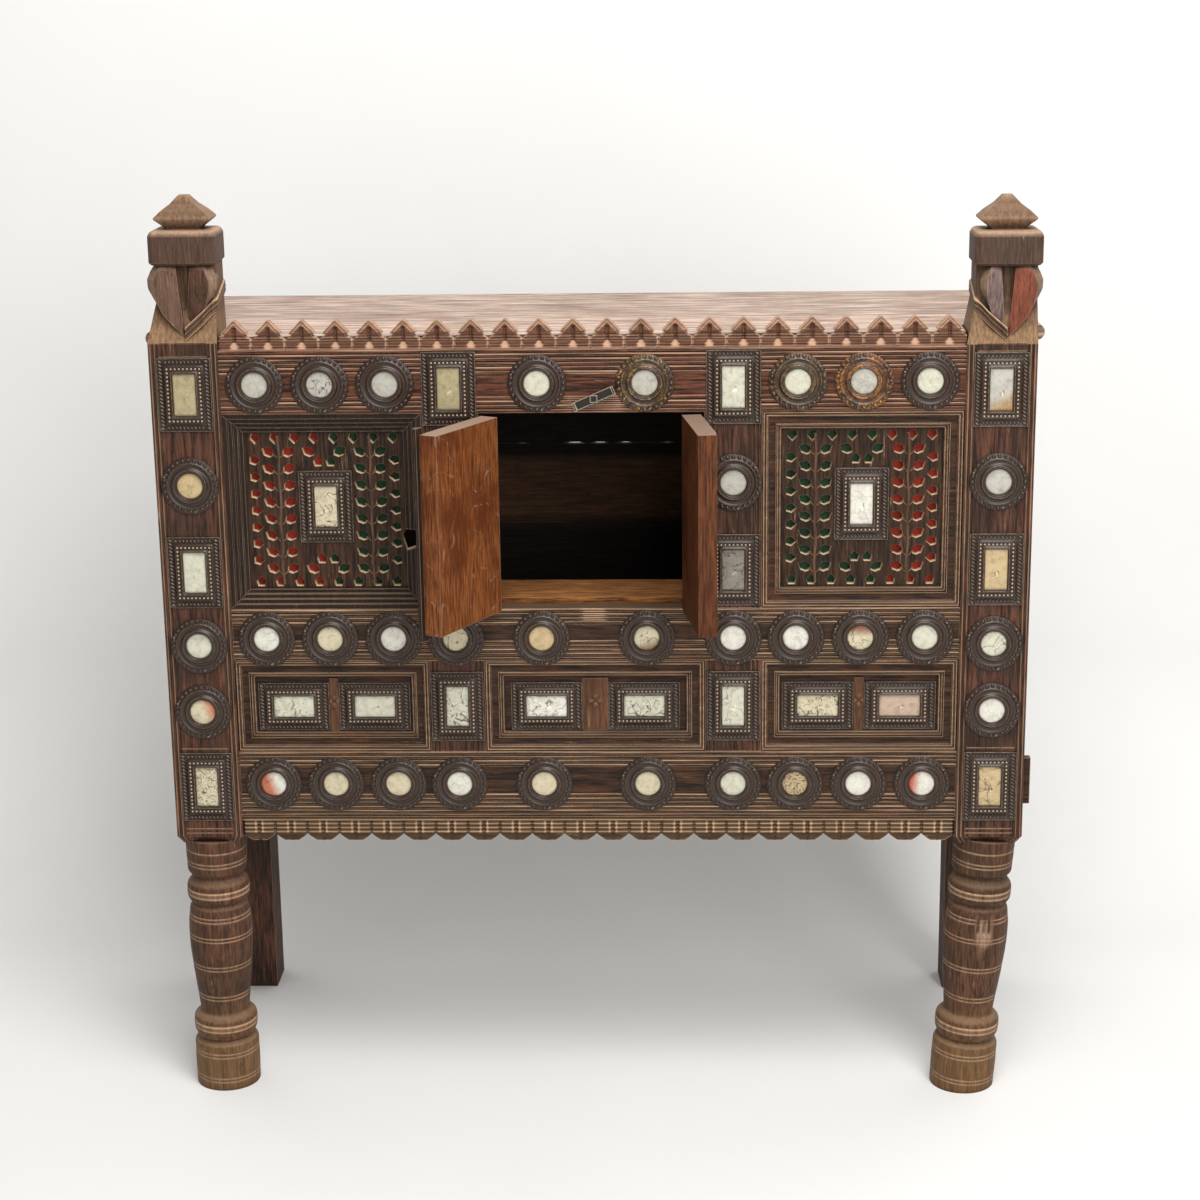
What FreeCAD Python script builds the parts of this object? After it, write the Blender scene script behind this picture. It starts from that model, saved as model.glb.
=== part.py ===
"""Dowry cabinet: a frame-and-panel chest on turned front legs, with mirror plates, jali panels and two doors.

Lengths are in millimetres. X runs along the front, +Y runs from the front to the back and +Z is up. While the
pieces are made, Y = 0 is the front face of the posts; they are exported about the centre of the finished box.
"""
import FreeCAD
import Part
import math
import os
from FreeCAD import Vector

# Carcass
WIDTH = 1100.0
DEPTH = 397.0
POST_W = 87.0
POST_D = 72.0
REAR_POST = 60.0
POST_SQUARE_Z = 350.0
POST_FOOT_CHAMFER = 7.0
DOOR_HALF = 141.0
STILE_W = 72.0
RAIL_SETBACK = 3.0
RAIL_T = 34.0
BOTTOM_RAIL_Z = 387.0
BOTTOM_RAIL_H = 90.0
LOWER_BAY_H = 122.0
MIDDLE_RAIL_H = 69.0
UPPER_BAY_H = 252.0
TOP_RAIL_H = 81.0

# Joints between the timbers
TENON_T = 11.0
TENON_SET = 12.0
TENON_L = 45.0
TENON_SHOULDER = 14.0
TENON_SHOW = 10.0
STUB_TENON_L = 15.0
GROOVE = 6.0

# Reeds on the front timbers
REED_DEPTH = 1.8
REED_HALF = 1.5
REED_PITCH = 5.5

# Crest, apron and top
TEETH = 22
CREST_T = 14.0
CREST_VALLEY = 12.0
CREST_WAIST_HALF = 12.5
CREST_WAIST_Z = 18.5
CREST_EAVE_HALF = 16.0
CREST_EAVE_Z = 20.0
CREST_PEAK = 36.0
CREST_TIP = 3.0
APRON_T = 16.0
APRON_H = 33.0
APRON_NOTCH_W = 17.0
APRON_NOTCH_H = 9.0
TOP_T = 20.0
TOP_REBATE = 5.0
TOP_OVERHANG = 18.0
TOP_FRONT_D = 143.0

# Panels, mouldings and the sheets behind the jali
PANEL_T = 11.0
MOULDING_W = 24.0
MOULDING_REEDS = 4
MOULDING_DROP = 3.0
MOULDING_BEVEL = 1.0
MOULDING_SET = 1.0
MOULDING_T = 13.0
SHEET_T = 1.0
SHEET_EDGE = 3.0
LEFT_RED_SHARE = 0.50
RIGHT_RED_SHARE = 0.36
CHIP_X = 9.0
CHIP_W = 20.0
CHIP_Z = 74.0
CHIP_H = 28.0

# Jali piercing, as drawn for a clear panel of the first two sizes
JALI_DRAWN_W = 202.0
JALI_DRAWN_H = 204.0
STEM_X = 58.0
LEAF_X = 13.0
LEAF_ROWS = 8
LEAF_PITCH = 21.6
LEAF_L = 18.0
LEAF_W = 12.5
LEAF_TILT = 30.0
DROP_L = 15.0
DROP_W = 12.5
DROP_X = 88.5
DROP_ROWS = 7
EDGE_ROW_Z = 93.0
EDGE_ROW_DROPS = 8
EDGE_ROW_PITCH = 24.9
SPRIG_X = 20.0
SPRIG_Z = 76.0
BUD_X = 8.0
BUD_Z = 63.0

# Mirror plates
ROUND_R = 36.5
ROUND_CREST_R = 24.0
ROUND_WINDOW_R = 16.0
ROUND_FLATS = 20
FRAME_H = 6.0
PLATE_W = 68.0
PLATE_H = 93.0
PLATE_RIM = 20.0
PLATE_CREST = 12.0
PANEL_PLATE_RIM = 18.0
PANEL_PLATE_EDGE = 2.5
PANEL_PLATE_GAP = 13.0
PANEL_PLATE_MARGIN = 5.0
PANEL_PLATE_DROP = 4.0
MIDDLE_PLATE_EDGE = 8.0
MIDDLE_PLATE_GAP = 34.0
PANE_T = 2.2
PANE_LAP = 4.0
BAY_PITCH = 81.5
DOOR_ROUND_X = 67.0
TOP_ROUND_Z = 37.0
MIDDLE_ROUND_Z = 29.5
BOTTOM_ROUND_Z = 46.0
STILE_TOP_PLATE_Z = 31.0
JALI_PLATE_RISE = 5.0
POST_TOP_PLATE_Z = 55.0
UPPER_ROUND_Z = 162.0
UPPER_PLATE_Z = 49.5
POST_MIDDLE_ROUND_Z = 21.5
POST_LOWER_ROUND_Z = 55.0
POST_FOOT_PLATE_Z = 43.0

# Doors, sill and hinges
LEAF_T = 24.0
LEAF_PROUD = 0.5
DOOR_GAP_SIDE = 1.5
DOOR_GAP_BOTTOM = 1.5
DOOR_GAP_TOP = 2.0
DOOR_GAP_MEETING = 3.0
LEFT_REST_DEG = 117.6
RIGHT_REST_DEG = 98.2
BATTEN_W = 13.0
BATTEN_T = 7.0
BATTEN_LAP = 6.5
BATTEN_OVER = 8.0
BATTEN_RELIEF = 1.0
SILL_STOP = 8.0
SILL_STOP_GAP = 1.5
SILL_D = 90.0
SILL_T = 26.0
SILL_HALF = 205.0
KNUCKLE_R = 3.5
KNUCKLE_L = 20.0
KNUCKLE_GAP = 0.3
KNUCKLE_STANDOFF = 0.5
FLAP_T = 1.2
FLAP_D = 20.0
PIN_R = 1.8
PIN_SHOW = 1.5
RUNNING_GAP = 0.05
HINGE_INSET = 48.0

# Turn button
BUTTON_L = 55.0
BUTTON_W = 11.0
BUTTON_T = 3.0
BUTTON_X = 4.0
BUTTON_Z = 19.5
BUTTON_TILT_DEG = 23.3
BUTTON_GAP = 1.0
BUTTON_LIP = 3.0
BOSS_R = 5.0
NAIL_R = 2.5
NAIL_HEAD = 9.0
NAIL_HEAD_T = 3.0
NAIL_DEPTH = 20.0
SEAT_GAP = 0.3

# Sides, back and floor
SIDE_RAIL_T = 28.0
SIDE_RAIL_H = 80.0
SIDE_INSET = 5.0
BACK_INSET = 8.0
BOARD_T = 12.0
BOARD_GAP = 2.0
WALL_BOARDS = 4
FLOOR_BOARDS = 4
FLOOR_T = 15.0
FLOOR_DROP = 17.0
BEARER_W = 30.0
BEARER_H = 26.0
BEARER_X = 300.0
BEARER_HOUSING = 8.0
FIT = 1.0

# Carved head of a front post, from the shoulder up
HEAD_BASE = 2.0
HEAD_ASIDE = 5.0
LEFT_SHOULDER_UP = 8.0
RIGHT_HEAD_DROP = 9.0
HEAD_SLOPE_H = 57.0
HEAD_SLOPE_IN = 15.0
HEAD_SIDE_IN = 5.5
NECK_H = 104.0
SHIELD_TIP = 19.0
SHIELD_POINT = 77.0
SHIELD_HALF = 41.0
SHIELD_SHOULDER_HALF = 33.0
SHIELD_PROUD = 2.0
CHANNEL_HALF = 8.0
CHANNEL_D = 9.0
BAND_H = 12.0
BAND_RISE = 42.0
BAND_FRONT = 4.0
BAND_STEP = 3.0
BLOCK_HALF = 42.0
BLOCK_H = 42.0
BLOCK_CHAMFER = 9.0
BLOCK_PROUD = 2.0
CAP_BASE_HALF = 21.5
CAP_POINT_HALF = 35.5
CAP_WAIST_HALF = 21.0
CAP_TIP_HALF = 6.0
CAP_POINT_Z = 14.0
CAP_WAIST_Z = 26.0
CAP_H = 41.0
CAP_D = 45.0
CAP_TIP_D = 20.0

# Turned leg: radii and heights of its foot, rings and vase
FOOT_R = 42.5
FOOT_TOP_Z = 64.0
GROOVE_R = 35.0
RING_R = 41.5
RING_BEVEL = 6.0
LOWER_RING_Z = 70.0
LOWER_RING_H = 35.0
VASE_FOOT_R = 32.0
VASE_R = 42.0
VASE_BELLY_Z = 212.0
VASE_NECK_R = 38.0
VASE_STEP = 3.0
VASE_BULGE = 1.2
UPPER_RING_Z = 260.0
UPPER_RING_H = 34.0
NECK_R = 33.0
NECK_Z = 300.0
DRUM_R = 40.0
LEG_SPARE = 6.0
RIGHT_LEG_LEAN_DEG = 3.6

# Places that follow from the sizes above
half_width = WIDTH / 2
post_in = half_width - POST_W
post_x = half_width - POST_W / 2
stile_out = DOOR_HALF + STILE_W
stile_x = DOOR_HALF + STILE_W / 2
bay_x = (stile_out + post_in) / 2
rail_y = RAIL_SETBACK
rail_back = rail_y + RAIL_T
tenon_y = rail_y + TENON_SET
lower_bay_z = BOTTOM_RAIL_Z + BOTTOM_RAIL_H
middle_rail_z = lower_bay_z + LOWER_BAY_H
upper_bay_z = middle_rail_z + MIDDLE_RAIL_H
top_rail_z = upper_bay_z + UPPER_BAY_H
rail_top = top_rail_z + TOP_RAIL_H
board_under = rail_top - TOP_REBATE
post_top = rail_top + HEAD_BASE
bay_w = post_in - stile_out
lower_bay_mid = lower_bay_z + LOWER_BAY_H / 2
upper_bay_mid = upper_bay_z + UPPER_BAY_H / 2
panel_plate_h = LOWER_BAY_H - 2 * MOULDING_W - 2 * PANEL_PLATE_MARGIN
moulding_y = rail_y + MOULDING_SET
panel_y = moulding_y + MOULDING_T
panel_back = panel_y + PANEL_T
leaf_y = rail_y - LEAF_PROUD
leaf_back = leaf_y + LEAF_T
leaf_z = upper_bay_z + DOOR_GAP_BOTTOM
leaf_top = top_rail_z - DOOR_GAP_TOP
hinge_x = DOOR_HALF - DOOR_GAP_SIDE / 2
hinge_y = leaf_y - KNUCKLE_STANDOFF - KNUCKLE_R
hinge_len = 2 * KNUCKLE_L + KNUCKLE_GAP
knuckle_back = hinge_y + KNUCKLE_R + KNUCKLE_GAP
button_z = top_rail_z + BUTTON_Z
button_back = leaf_y - BATTEN_T - BUTTON_GAP
rear_y = DEPTH - REAR_POST
rear_in = half_width - REAR_POST
side_out = half_width - SIDE_INSET
side_in = side_out - SIDE_RAIL_T
side_mid = (side_out + side_in) / 2
back_out = DEPTH - BACK_INSET
back_in = back_out - SIDE_RAIL_T
back_mid = (back_out + back_in) / 2
side_top_z = board_under - SIDE_RAIL_H
floor_top = lower_bay_z - FLOOR_DROP
floor_under = floor_top - FLOOR_T


def box(x0, x1, y0, y1, z0, z1):
    """Block between two corners."""
    return Part.makeBox(x1 - x0, y1 - y0, z1 - z0, Vector(x0, y0, z0))


def ring_of(points):
    """Closed wire through points."""
    return Part.makePolygon(points + points[:1])


def prism_xz(points, y0, y1):
    """Solid with an outline of (x, z) points, from y0 to y1."""
    face = Part.Face(ring_of([Vector(x, y0, z) for x, z in points]))
    return face.extrude(Vector(0, y1 - y0, 0))


def prism_xy(points, z0, z1):
    """Solid with an outline of (x, y) points, from z0 to z1."""
    face = Part.Face(ring_of([Vector(x, y, z0) for x, y in points]))
    return face.extrude(Vector(0, 0, z1 - z0))


def along_y(radius, y0, y1, x, z):
    """Cylinder along Y, from y0 to y1."""
    return Part.makeCylinder(radius, y1 - y0, Vector(x, y0, z), Vector(0, 1, 0))


def flat_sides(first, last):
    """Flat faces between two outlines with the same number of corners."""
    corners = range(len(first))
    return [Part.Face(ring_of([first[k - 1], first[k], last[k], last[k - 1]])) for k in corners]


def solid_of(faces):
    """Solid inside a closed set of faces."""
    shell = Part.makeShell(faces)
    shell.sewShape()
    solid = Part.makeSolid(shell)
    return solid if solid.Volume > 0 else solid.reversed()


def frustum(first, last):
    """Solid between two flat outlines."""
    ends = [Part.Face(ring_of(first)), Part.Face(ring_of(last))]
    return solid_of(flat_sides(first, last) + ends)


def mirrored(shape):
    """The same piece on the other side of the cabinet."""
    return shape.mirror(Vector(0, 0, 0), Vector(1, 0, 0))


def both(shape):
    """A piece and its mirror image."""
    return [shape, mirrored(shape)]


def upright_reed(x, y, z0, z1):
    """Cutter for one V-shaped reed line up a front face at y."""
    return prism_xy([(x - REED_HALF, y), (x + REED_HALF, y), (x, y + REED_DEPTH)], z0, z1)


def level_reed(z, x0, x1):
    """Cutter for one V-shaped reed line along a rail."""
    corners = [(z - REED_HALF, rail_y), (z + REED_HALF, rail_y), (z, rail_y + REED_DEPTH)]
    face = Part.Face(ring_of([Vector(x0, y, height) for height, y in corners]))
    return face.extrude(Vector(x1 - x0, 0, 0))


def edge_reeds(x0, x1, y, z0, z1, count):
    """Reed lines up both edges of an upright timber."""
    offsets = [REED_PITCH * (k + 1) for k in range(count)]
    places = [x0 + d for d in offsets] + [x1 - d for d in offsets]
    return [upright_reed(x, y, z0, z1) for x in places]


# Mirror plates: every place is (x, y of the wood behind, z)
def rail_rounds(height, with_stiles):
    """Places of the round frames along one rail."""
    row = [DOOR_ROUND_X, bay_x - BAY_PITCH, bay_x, bay_x + BAY_PITCH]
    if with_stiles:
        row.append(stile_x)
    return [(side * x, rail_y, height) for x in row for side in (1, -1)]


def round_places():
    """Places of all the round frames."""
    places = rail_rounds(top_rail_z + TOP_ROUND_Z, False)
    places += rail_rounds(middle_rail_z + MIDDLE_ROUND_Z, True)
    places += rail_rounds(BOTTOM_RAIL_Z + BOTTOM_ROUND_Z, True)
    heights = [upper_bay_z + UPPER_ROUND_Z, middle_rail_z + POST_MIDDLE_ROUND_Z]
    heights.append(lower_bay_z + POST_LOWER_ROUND_Z)
    places += [(side * post_x, 0.0, z) for z in heights for side in (1, -1)]
    places += [(side * stile_x, rail_y, upper_bay_z + UPPER_ROUND_Z) for side in (1, -1)]
    return places


def upright_places():
    """Places of the upright oblong frames."""
    heights = [rail_top - POST_TOP_PLATE_Z, upper_bay_z + UPPER_PLATE_Z, BOTTOM_RAIL_Z + POST_FOOT_PLATE_Z]
    places = [(post_x, 0.0, z) for z in heights]
    heights = [top_rail_z + STILE_TOP_PLATE_Z, upper_bay_z + UPPER_PLATE_Z, lower_bay_mid]
    places += [(stile_x, rail_y, z) for z in heights]
    places.append((bay_x, panel_y, upper_bay_mid + JALI_PLATE_RISE))
    return [(side * x, y, z) for x, y, z in places for side in (1, -1)]


def lying_places():
    """Places of the lying oblong frames on the lower panels, each with the frame's width."""
    middle_w = DOOR_HALF - MOULDING_W - MIDDLE_PLATE_EDGE - MIDDLE_PLATE_GAP / 2
    side_w = bay_w / 2 - MOULDING_W - PANEL_PLATE_EDGE - PANEL_PLATE_GAP / 2
    offset = (side_w + PANEL_PLATE_GAP) / 2
    row = [((middle_w + MIDDLE_PLATE_GAP) / 2, middle_w), (bay_x - offset, side_w), (bay_x + offset, side_w)]
    z = lower_bay_mid - PANEL_PLATE_DROP
    return [((side * x, panel_y, z), width) for x, width in row for side in (1, -1)]


def pane_box(place, width, height):
    """A pane let into the wood behind a window, lapped by the frame all round."""
    x, y, z = place
    half_w = width / 2 + PANE_LAP
    half_h = height / 2 + PANE_LAP
    return box(x - half_w, x + half_w, y, y + PANE_T, z - half_h, z + half_h)


def round_panes():
    return [pane_box(p, 2 * ROUND_WINDOW_R, 2 * ROUND_WINDOW_R) for p in round_places()]


def upright_panes():
    return [pane_box(p, PLATE_W - 2 * PLATE_RIM, PLATE_H - 2 * PLATE_RIM) for p in upright_places()]


def lying_panes():
    window_h = panel_plate_h - 2 * PANEL_PLATE_RIM
    return [pane_box(p, width - 2 * PLATE_RIM, window_h) for p, width in lying_places()]


def let_in(timber):
    """Cut the seats of the panes that a timber carries."""
    panes = round_panes() + upright_panes() + lying_panes()
    seats = [pane for pane in panes if pane.common(timber).Volume > 1.0]
    return timber.cut(seats) if seats else timber


def embossed(place, edge, crest, lip):
    """Thin frame that swells from its edge to a crest and falls to the lip of its window."""
    faces = flat_sides(edge, crest) + flat_sides(crest, lip) + flat_sides(lip, edge)
    return solid_of(faces).translated(Vector(*place))


def round_outline(radius, y):
    """Corners of a hammered ring, drawn with flats, at depth y."""
    turns = [2 * math.pi * k / ROUND_FLATS for k in range(ROUND_FLATS)]
    return [Vector(radius * math.cos(t), y, radius * math.sin(t)) for t in turns]


def round_frame(place):
    """Embossed round frame."""
    crest = round_outline(ROUND_CREST_R, -FRAME_H)
    return embossed(place, round_outline(ROUND_R, 0), crest, round_outline(ROUND_WINDOW_R, 0))


def oblong(half_w, half_h, y):
    """Corners of an upright rectangle at depth y."""
    corners = [(-half_w, -half_h), (half_w, -half_h), (half_w, half_h), (-half_w, half_h)]
    return [Vector(x, y, z) for x, z in corners]


def oblong_frame(place, width, height, rim):
    """Embossed oblong frame; rim is its width above and below the window."""
    crest = oblong(width / 2 - PLATE_CREST, height / 2 - PLATE_CREST, -FRAME_H)
    lip = oblong(width / 2 - PLATE_RIM, height / 2 - rim, 0)
    return embossed(place, oblong(width / 2, height / 2, 0), crest, lip)


# Front posts
def turned_leg(lean):
    """Leg of a front post, turned on one axis that leans inward at the foot, and sawn level under it."""
    ring_low = LOWER_RING_Z + LOWER_RING_H
    ring_high = UPPER_RING_Z + UPPER_RING_H
    vase_low = ring_low + VASE_STEP
    vase_high = UPPER_RING_Z - VASE_STEP
    under = -LEG_SPARE
    over = POST_SQUARE_Z + LEG_SPARE
    outline = [(0, under), (FOOT_R, under), (FOOT_R, FOOT_TOP_Z), (GROOVE_R, LOWER_RING_Z)]
    outline += [(RING_R, LOWER_RING_Z + RING_BEVEL), (RING_R, ring_low - RING_BEVEL), (VASE_FOOT_R, vase_low)]
    above = [(VASE_NECK_R, vase_high), (GROOVE_R, UPPER_RING_Z), (RING_R, UPPER_RING_Z + RING_BEVEL)]
    above += [(RING_R, ring_high - RING_BEVEL), (NECK_R, NECK_Z), (DRUM_R, NECK_Z + RING_BEVEL)]
    above += [(DRUM_R, over), (0, over)]
    start = Vector(VASE_FOOT_R, 0, vase_low)
    belly = Vector(VASE_R, 0, VASE_BELLY_Z)
    neck = Vector(VASE_NECK_R, 0, vase_high)
    lower_mid = Vector((VASE_FOOT_R + VASE_R) / 2 + VASE_BULGE, 0, (start.z + belly.z) / 2)
    upper_mid = Vector((VASE_R + VASE_NECK_R) / 2 + VASE_BULGE, 0, (belly.z + neck.z) / 2)
    low_wire = Part.makePolygon([Vector(r, 0, z) for r, z in outline])
    high_wire = Part.makePolygon([Vector(r, 0, z) for r, z in above + [(0, under)]])
    arcs = [Part.Arc(start, lower_mid, belly).toShape(), Part.Arc(belly, upper_mid, neck).toShape()]
    profile = Part.Wire(low_wire.Edges + arcs + high_wire.Edges)
    leg = Part.Face(profile).revolve(Vector(0, 0, 0), Vector(0, 0, 1), 360)
    leg = leg.translated(Vector(post_x, POST_D / 2, 0))
    leg = leg.rotated(Vector(post_x, POST_D / 2, POST_SQUARE_Z), Vector(0, 1, 0), lean)
    return leg.cut(box(0, WIDTH, -DEPTH, DEPTH, -DEPTH, 0))


def level_rectangle(x0, x1, y0, y1, z):
    """Corners of a level rectangle at height z."""
    return [Vector(x0, y0, z), Vector(x1, y0, z), Vector(x1, y1, z), Vector(x0, y1, z)]


def post_shaft(shoulder_z):
    """Square part of a front post up to its shoulder, chamfered where it meets the leg."""
    c = POST_FOOT_CHAMFER
    foot = level_rectangle(post_in + c, half_width - c, c, POST_D - c, POST_SQUARE_Z)
    full = level_rectangle(post_in, half_width, 0, POST_D, POST_SQUARE_Z + 2 * c)
    return frustum(foot, full).fuse(box(post_in, half_width, 0, POST_D, POST_SQUARE_Z + 2 * c, shoulder_z))


def head_neck(aside, shoulder_z):
    """Neck behind the shield: it slopes back from the shoulder, a little aside, and then rises straight."""
    left = post_in + HEAD_SIDE_IN + aside
    right = half_width - HEAD_SIDE_IN + aside
    shoulder = level_rectangle(post_in, half_width, 0, POST_D, shoulder_z)
    waist = level_rectangle(left, right, HEAD_SLOPE_IN, POST_D, post_top + HEAD_SLOPE_H)
    rise = box(left, right, HEAD_SLOPE_IN, POST_D, post_top + HEAD_SLOPE_H, post_top + NECK_H)
    return frustum(shoulder, waist).fuse(rise)


def head_bands():
    """Two chevron bands that rise from the foot of the shield to the sides."""
    bands = []
    half = POST_W / 2 - HEAD_SIDE_IN
    for k in (0, 1):
        low = post_top + k * BAND_H
        outline = [(post_x - half, low + BAND_RISE), (post_x, low), (post_x + half, low + BAND_RISE)]
        outline += [(x, z + BAND_H) for x, z in reversed(outline)]
        bands.append(prism_xz(outline, BAND_FRONT - k * BAND_STEP, POST_D / 2))
    return bands


def head_shield():
    """Tulip-shaped shield with a channel down its middle."""
    outline = [(0, SHIELD_TIP), (SHIELD_HALF * 0.62, SHIELD_TIP + 27), (SHIELD_HALF, SHIELD_POINT)]
    outline += [(SHIELD_HALF, SHIELD_POINT + 9), (SHIELD_SHOULDER_HALF, NECK_H)]
    points = [(post_x + x, post_top + z) for x, z in outline]
    points += [(post_x - x, post_top + z) for x, z in reversed(outline[1:])]
    shield = prism_xz(points, -SHIELD_PROUD, POST_D / 2)
    top = post_top + NECK_H
    front = -SHIELD_PROUD
    mouth = [(post_x - CHANNEL_HALF, front), (post_x + CHANNEL_HALF, front), (post_x, front + CHANNEL_D)]
    rim = [Vector(x, y, top) for x, y in mouth]
    tip = Vector(post_x, front, post_top + SHIELD_TIP + CHANNEL_HALF)
    sides = [Part.Face(ring_of([rim[k - 1], rim[k], tip])) for k in range(3)]
    return shield.cut(solid_of(sides + [Part.Face(ring_of(rim))]))


def head_block():
    """Block over the shield, with its upright corners cut off."""
    c = BLOCK_CHAMFER
    front = -BLOCK_PROUD
    left = post_x - BLOCK_HALF
    right = post_x + BLOCK_HALF
    outline = [(left + c, front), (right - c, front), (right, front + c), (right, POST_D), (left, POST_D)]
    outline.append((left, front + c))
    low = post_top + NECK_H
    return prism_xy(outline, low, low + BLOCK_H)


def head_cap():
    """Flared cap, hipped on all four sides."""
    low = post_top + NECK_H + BLOCK_H
    half = [(CAP_BASE_HALF, 0), (CAP_POINT_HALF, CAP_POINT_Z)]
    half += [(CAP_WAIST_HALF, CAP_WAIST_Z), (CAP_TIP_HALF, CAP_H)]
    front = [(post_x + x, low + z) for x, z in half] + [(post_x - x, low + z) for x, z in reversed(half)]
    across = prism_xz(front, 0, POST_D)
    mid = POST_D / 2
    waist_d = (CAP_D + CAP_TIP_D) / 2 - 4
    side = [(CAP_D - 8, 0), (CAP_D, CAP_POINT_Z), (waist_d, CAP_WAIST_Z), (CAP_TIP_D, CAP_H)]
    profile = [(mid + d / 2, low + z) for d, z in side] + [(mid - d / 2, low + z) for d, z in reversed(side)]
    face = Part.Face(ring_of([Vector(post_in, y, z) for y, z in profile]))
    return across.common(face.extrude(Vector(POST_W, 0, 0)))


def front_post(lean, aside, shoulder_up, drop):
    """Right-hand front post: one timber from the foot to the cap.

    Cut by hand, the two posts differ in the leg's lean, where the head sits, and their shoulder's height."""
    shoulder_z = post_top + shoulder_up
    pieces = [turned_leg(lean), head_neck(aside, shoulder_z)]
    carving = [head_shield(), head_block(), head_cap()]
    pieces += [piece.translated(Vector(aside, 0, -drop)) for piece in carving]
    pieces += [piece.translated(Vector(aside, 0, 0)) for piece in head_bands()]
    post = post_shaft(shoulder_z).fuse(pieces).removeSplitter()
    cutters = edge_reeds(post_in, half_width, 0, POST_SQUARE_Z + 2 * POST_FOOT_CHAMFER, shoulder_z, 2)
    cutters += [rail_tenon(z, h, through) for z, h, through in rail_heights()]
    cutters += [side_tenon(z, POST_D) for z in (BOTTOM_RAIL_Z, side_top_z)]
    cutters += [upper_panel_box(), lower_panel_box(), side_wall_box()]
    return let_in(post.cut(cutters))


def rear_post():
    """Right-hand rear post, plain and square, up to the top boards."""
    post = box(rear_in, half_width, rear_y, DEPTH, 0, board_under)
    cutters = [side_tenon(z, rear_y) for z in (BOTTOM_RAIL_Z, side_top_z)]
    cutters += [back_tenon(BOTTOM_RAIL_Z), back_tenon(side_top_z), side_wall_box(), back_wall_box()]
    return post.cut(cutters)


# Front rails, stiles and muntins
def rail_heights():
    """(underside, height, whether the tenon goes right through the post) of the three front rails."""
    rails = [(top_rail_z, TOP_RAIL_H, False), (middle_rail_z, MIDDLE_RAIL_H, False)]
    return rails + [(BOTTOM_RAIL_Z, BOTTOM_RAIL_H, True)]


def rail_tenon(z, height, through):
    """Right-hand tenon of a front rail, which is also its mortise."""
    end = half_width + TENON_SHOW if through else post_in + TENON_L
    return box(post_in, end, tenon_y, tenon_y + TENON_T, z + TENON_SHOULDER, z + height - TENON_SHOULDER)


def stile_tenon(z0, z1):
    """Tenon of a stile or muntin, which is also its mortise."""
    return box(DOOR_HALF + TENON_SHOULDER, stile_out - TENON_SHOULDER, tenon_y, tenon_y + TENON_T, z0, z1)


def upper_panel_box():
    """Right-hand jali board with the tongues that sit in the grooves round it."""
    z0 = upper_bay_z - GROOVE
    return box(stile_out - GROOVE, post_in + GROOVE, panel_y, panel_back, z0, top_rail_z + GROOVE)


def lower_panel_box():
    """Right-hand lower board with its tongues."""
    z0 = lower_bay_z - GROOVE
    return box(stile_out - GROOVE, post_in + GROOVE, panel_y, panel_back, z0, middle_rail_z + GROOVE)


def middle_panel_box():
    """Middle lower board with its tongues."""
    half = DOOR_HALF + GROOVE
    return box(-half, half, panel_y, panel_back, lower_bay_z - GROOVE, middle_rail_z + GROOVE)


def front_rail(index, reeds_below, reeds_above, cutters):
    """One rail between the posts, with reed lines along its lower and upper edges."""
    z, height, through = rail_heights()[index]
    rail = box(-post_in, post_in, rail_y, rail_back, z, z + height)
    rail = rail.fuse(both(rail_tenon(z, height, through)))
    levels = [z + REED_PITCH * (k + 1) for k in range(reeds_below)]
    levels += [z + height - REED_PITCH * (k + 1) for k in range(reeds_above)]
    lines = [level_reed(level, -post_in, post_in) for level in levels]
    return let_in(rail.cut(lines + cutters))


def top_rail():
    nail = along_y(NAIL_R + RUNNING_GAP, rail_y, rail_y + NAIL_DEPTH, BUTTON_X, button_z)
    rebate = box(-post_in, post_in, rail_y + CREST_T, rail_back, board_under, rail_top)
    stiles = both(stile_tenon(top_rail_z, top_rail_z + STUB_TENON_L))
    return front_rail(0, 3, 5, stiles + both(upper_panel_box()) + [nail, rebate])


def middle_rail():
    cutters = both(stile_tenon(upper_bay_z - STUB_TENON_L, upper_bay_z))
    cutters += both(stile_tenon(middle_rail_z, middle_rail_z + STUB_TENON_L))
    cutters += both(upper_panel_box()) + both(lower_panel_box()) + [middle_panel_box()]
    return front_rail(1, 4, 3, cutters)


def bottom_rail():
    """Bottom rail: its right tenon shows past the post, and its left one is sawn off flush."""
    cutters = both(stile_tenon(lower_bay_z - STUB_TENON_L, lower_bay_z))
    cutters += both(lower_panel_box()) + [middle_panel_box()] + both(bearer_box())
    cutters.append(box(-half_width - TENON_SHOW, -half_width, rail_y, rail_back, BOTTOM_RAIL_Z, lower_bay_z))
    return front_rail(2, 5, 3, cutters)


def door_stile():
    """Right-hand stile beside the doors, with the seats of the hinge flaps."""
    stile = box(DOOR_HALF, stile_out, rail_y, rail_back, upper_bay_z, top_rail_z)
    ends = [stile_tenon(upper_bay_z - STUB_TENON_L, upper_bay_z)]
    ends.append(stile_tenon(top_rail_z, top_rail_z + STUB_TENON_L))
    reeds = edge_reeds(DOOR_HALF, stile_out, rail_y, upper_bay_z, top_rail_z, 2)
    seats = [frame_plate(z) for z in hinge_heights()]
    return let_in(stile.fuse(ends).cut(reeds + seats + [upper_panel_box()]))


def lower_muntin():
    """Right-hand upright between the lower panels."""
    muntin = box(DOOR_HALF, stile_out, rail_y, rail_back, lower_bay_z, middle_rail_z)
    ends = [stile_tenon(lower_bay_z - STUB_TENON_L, lower_bay_z)]
    ends.append(stile_tenon(middle_rail_z, middle_rail_z + STUB_TENON_L))
    reeds = edge_reeds(DOOR_HALF, stile_out, rail_y, lower_bay_z, middle_rail_z, 2)
    return let_in(muntin.fuse(ends).cut(reeds + [lower_panel_box(), middle_panel_box()]))


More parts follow.
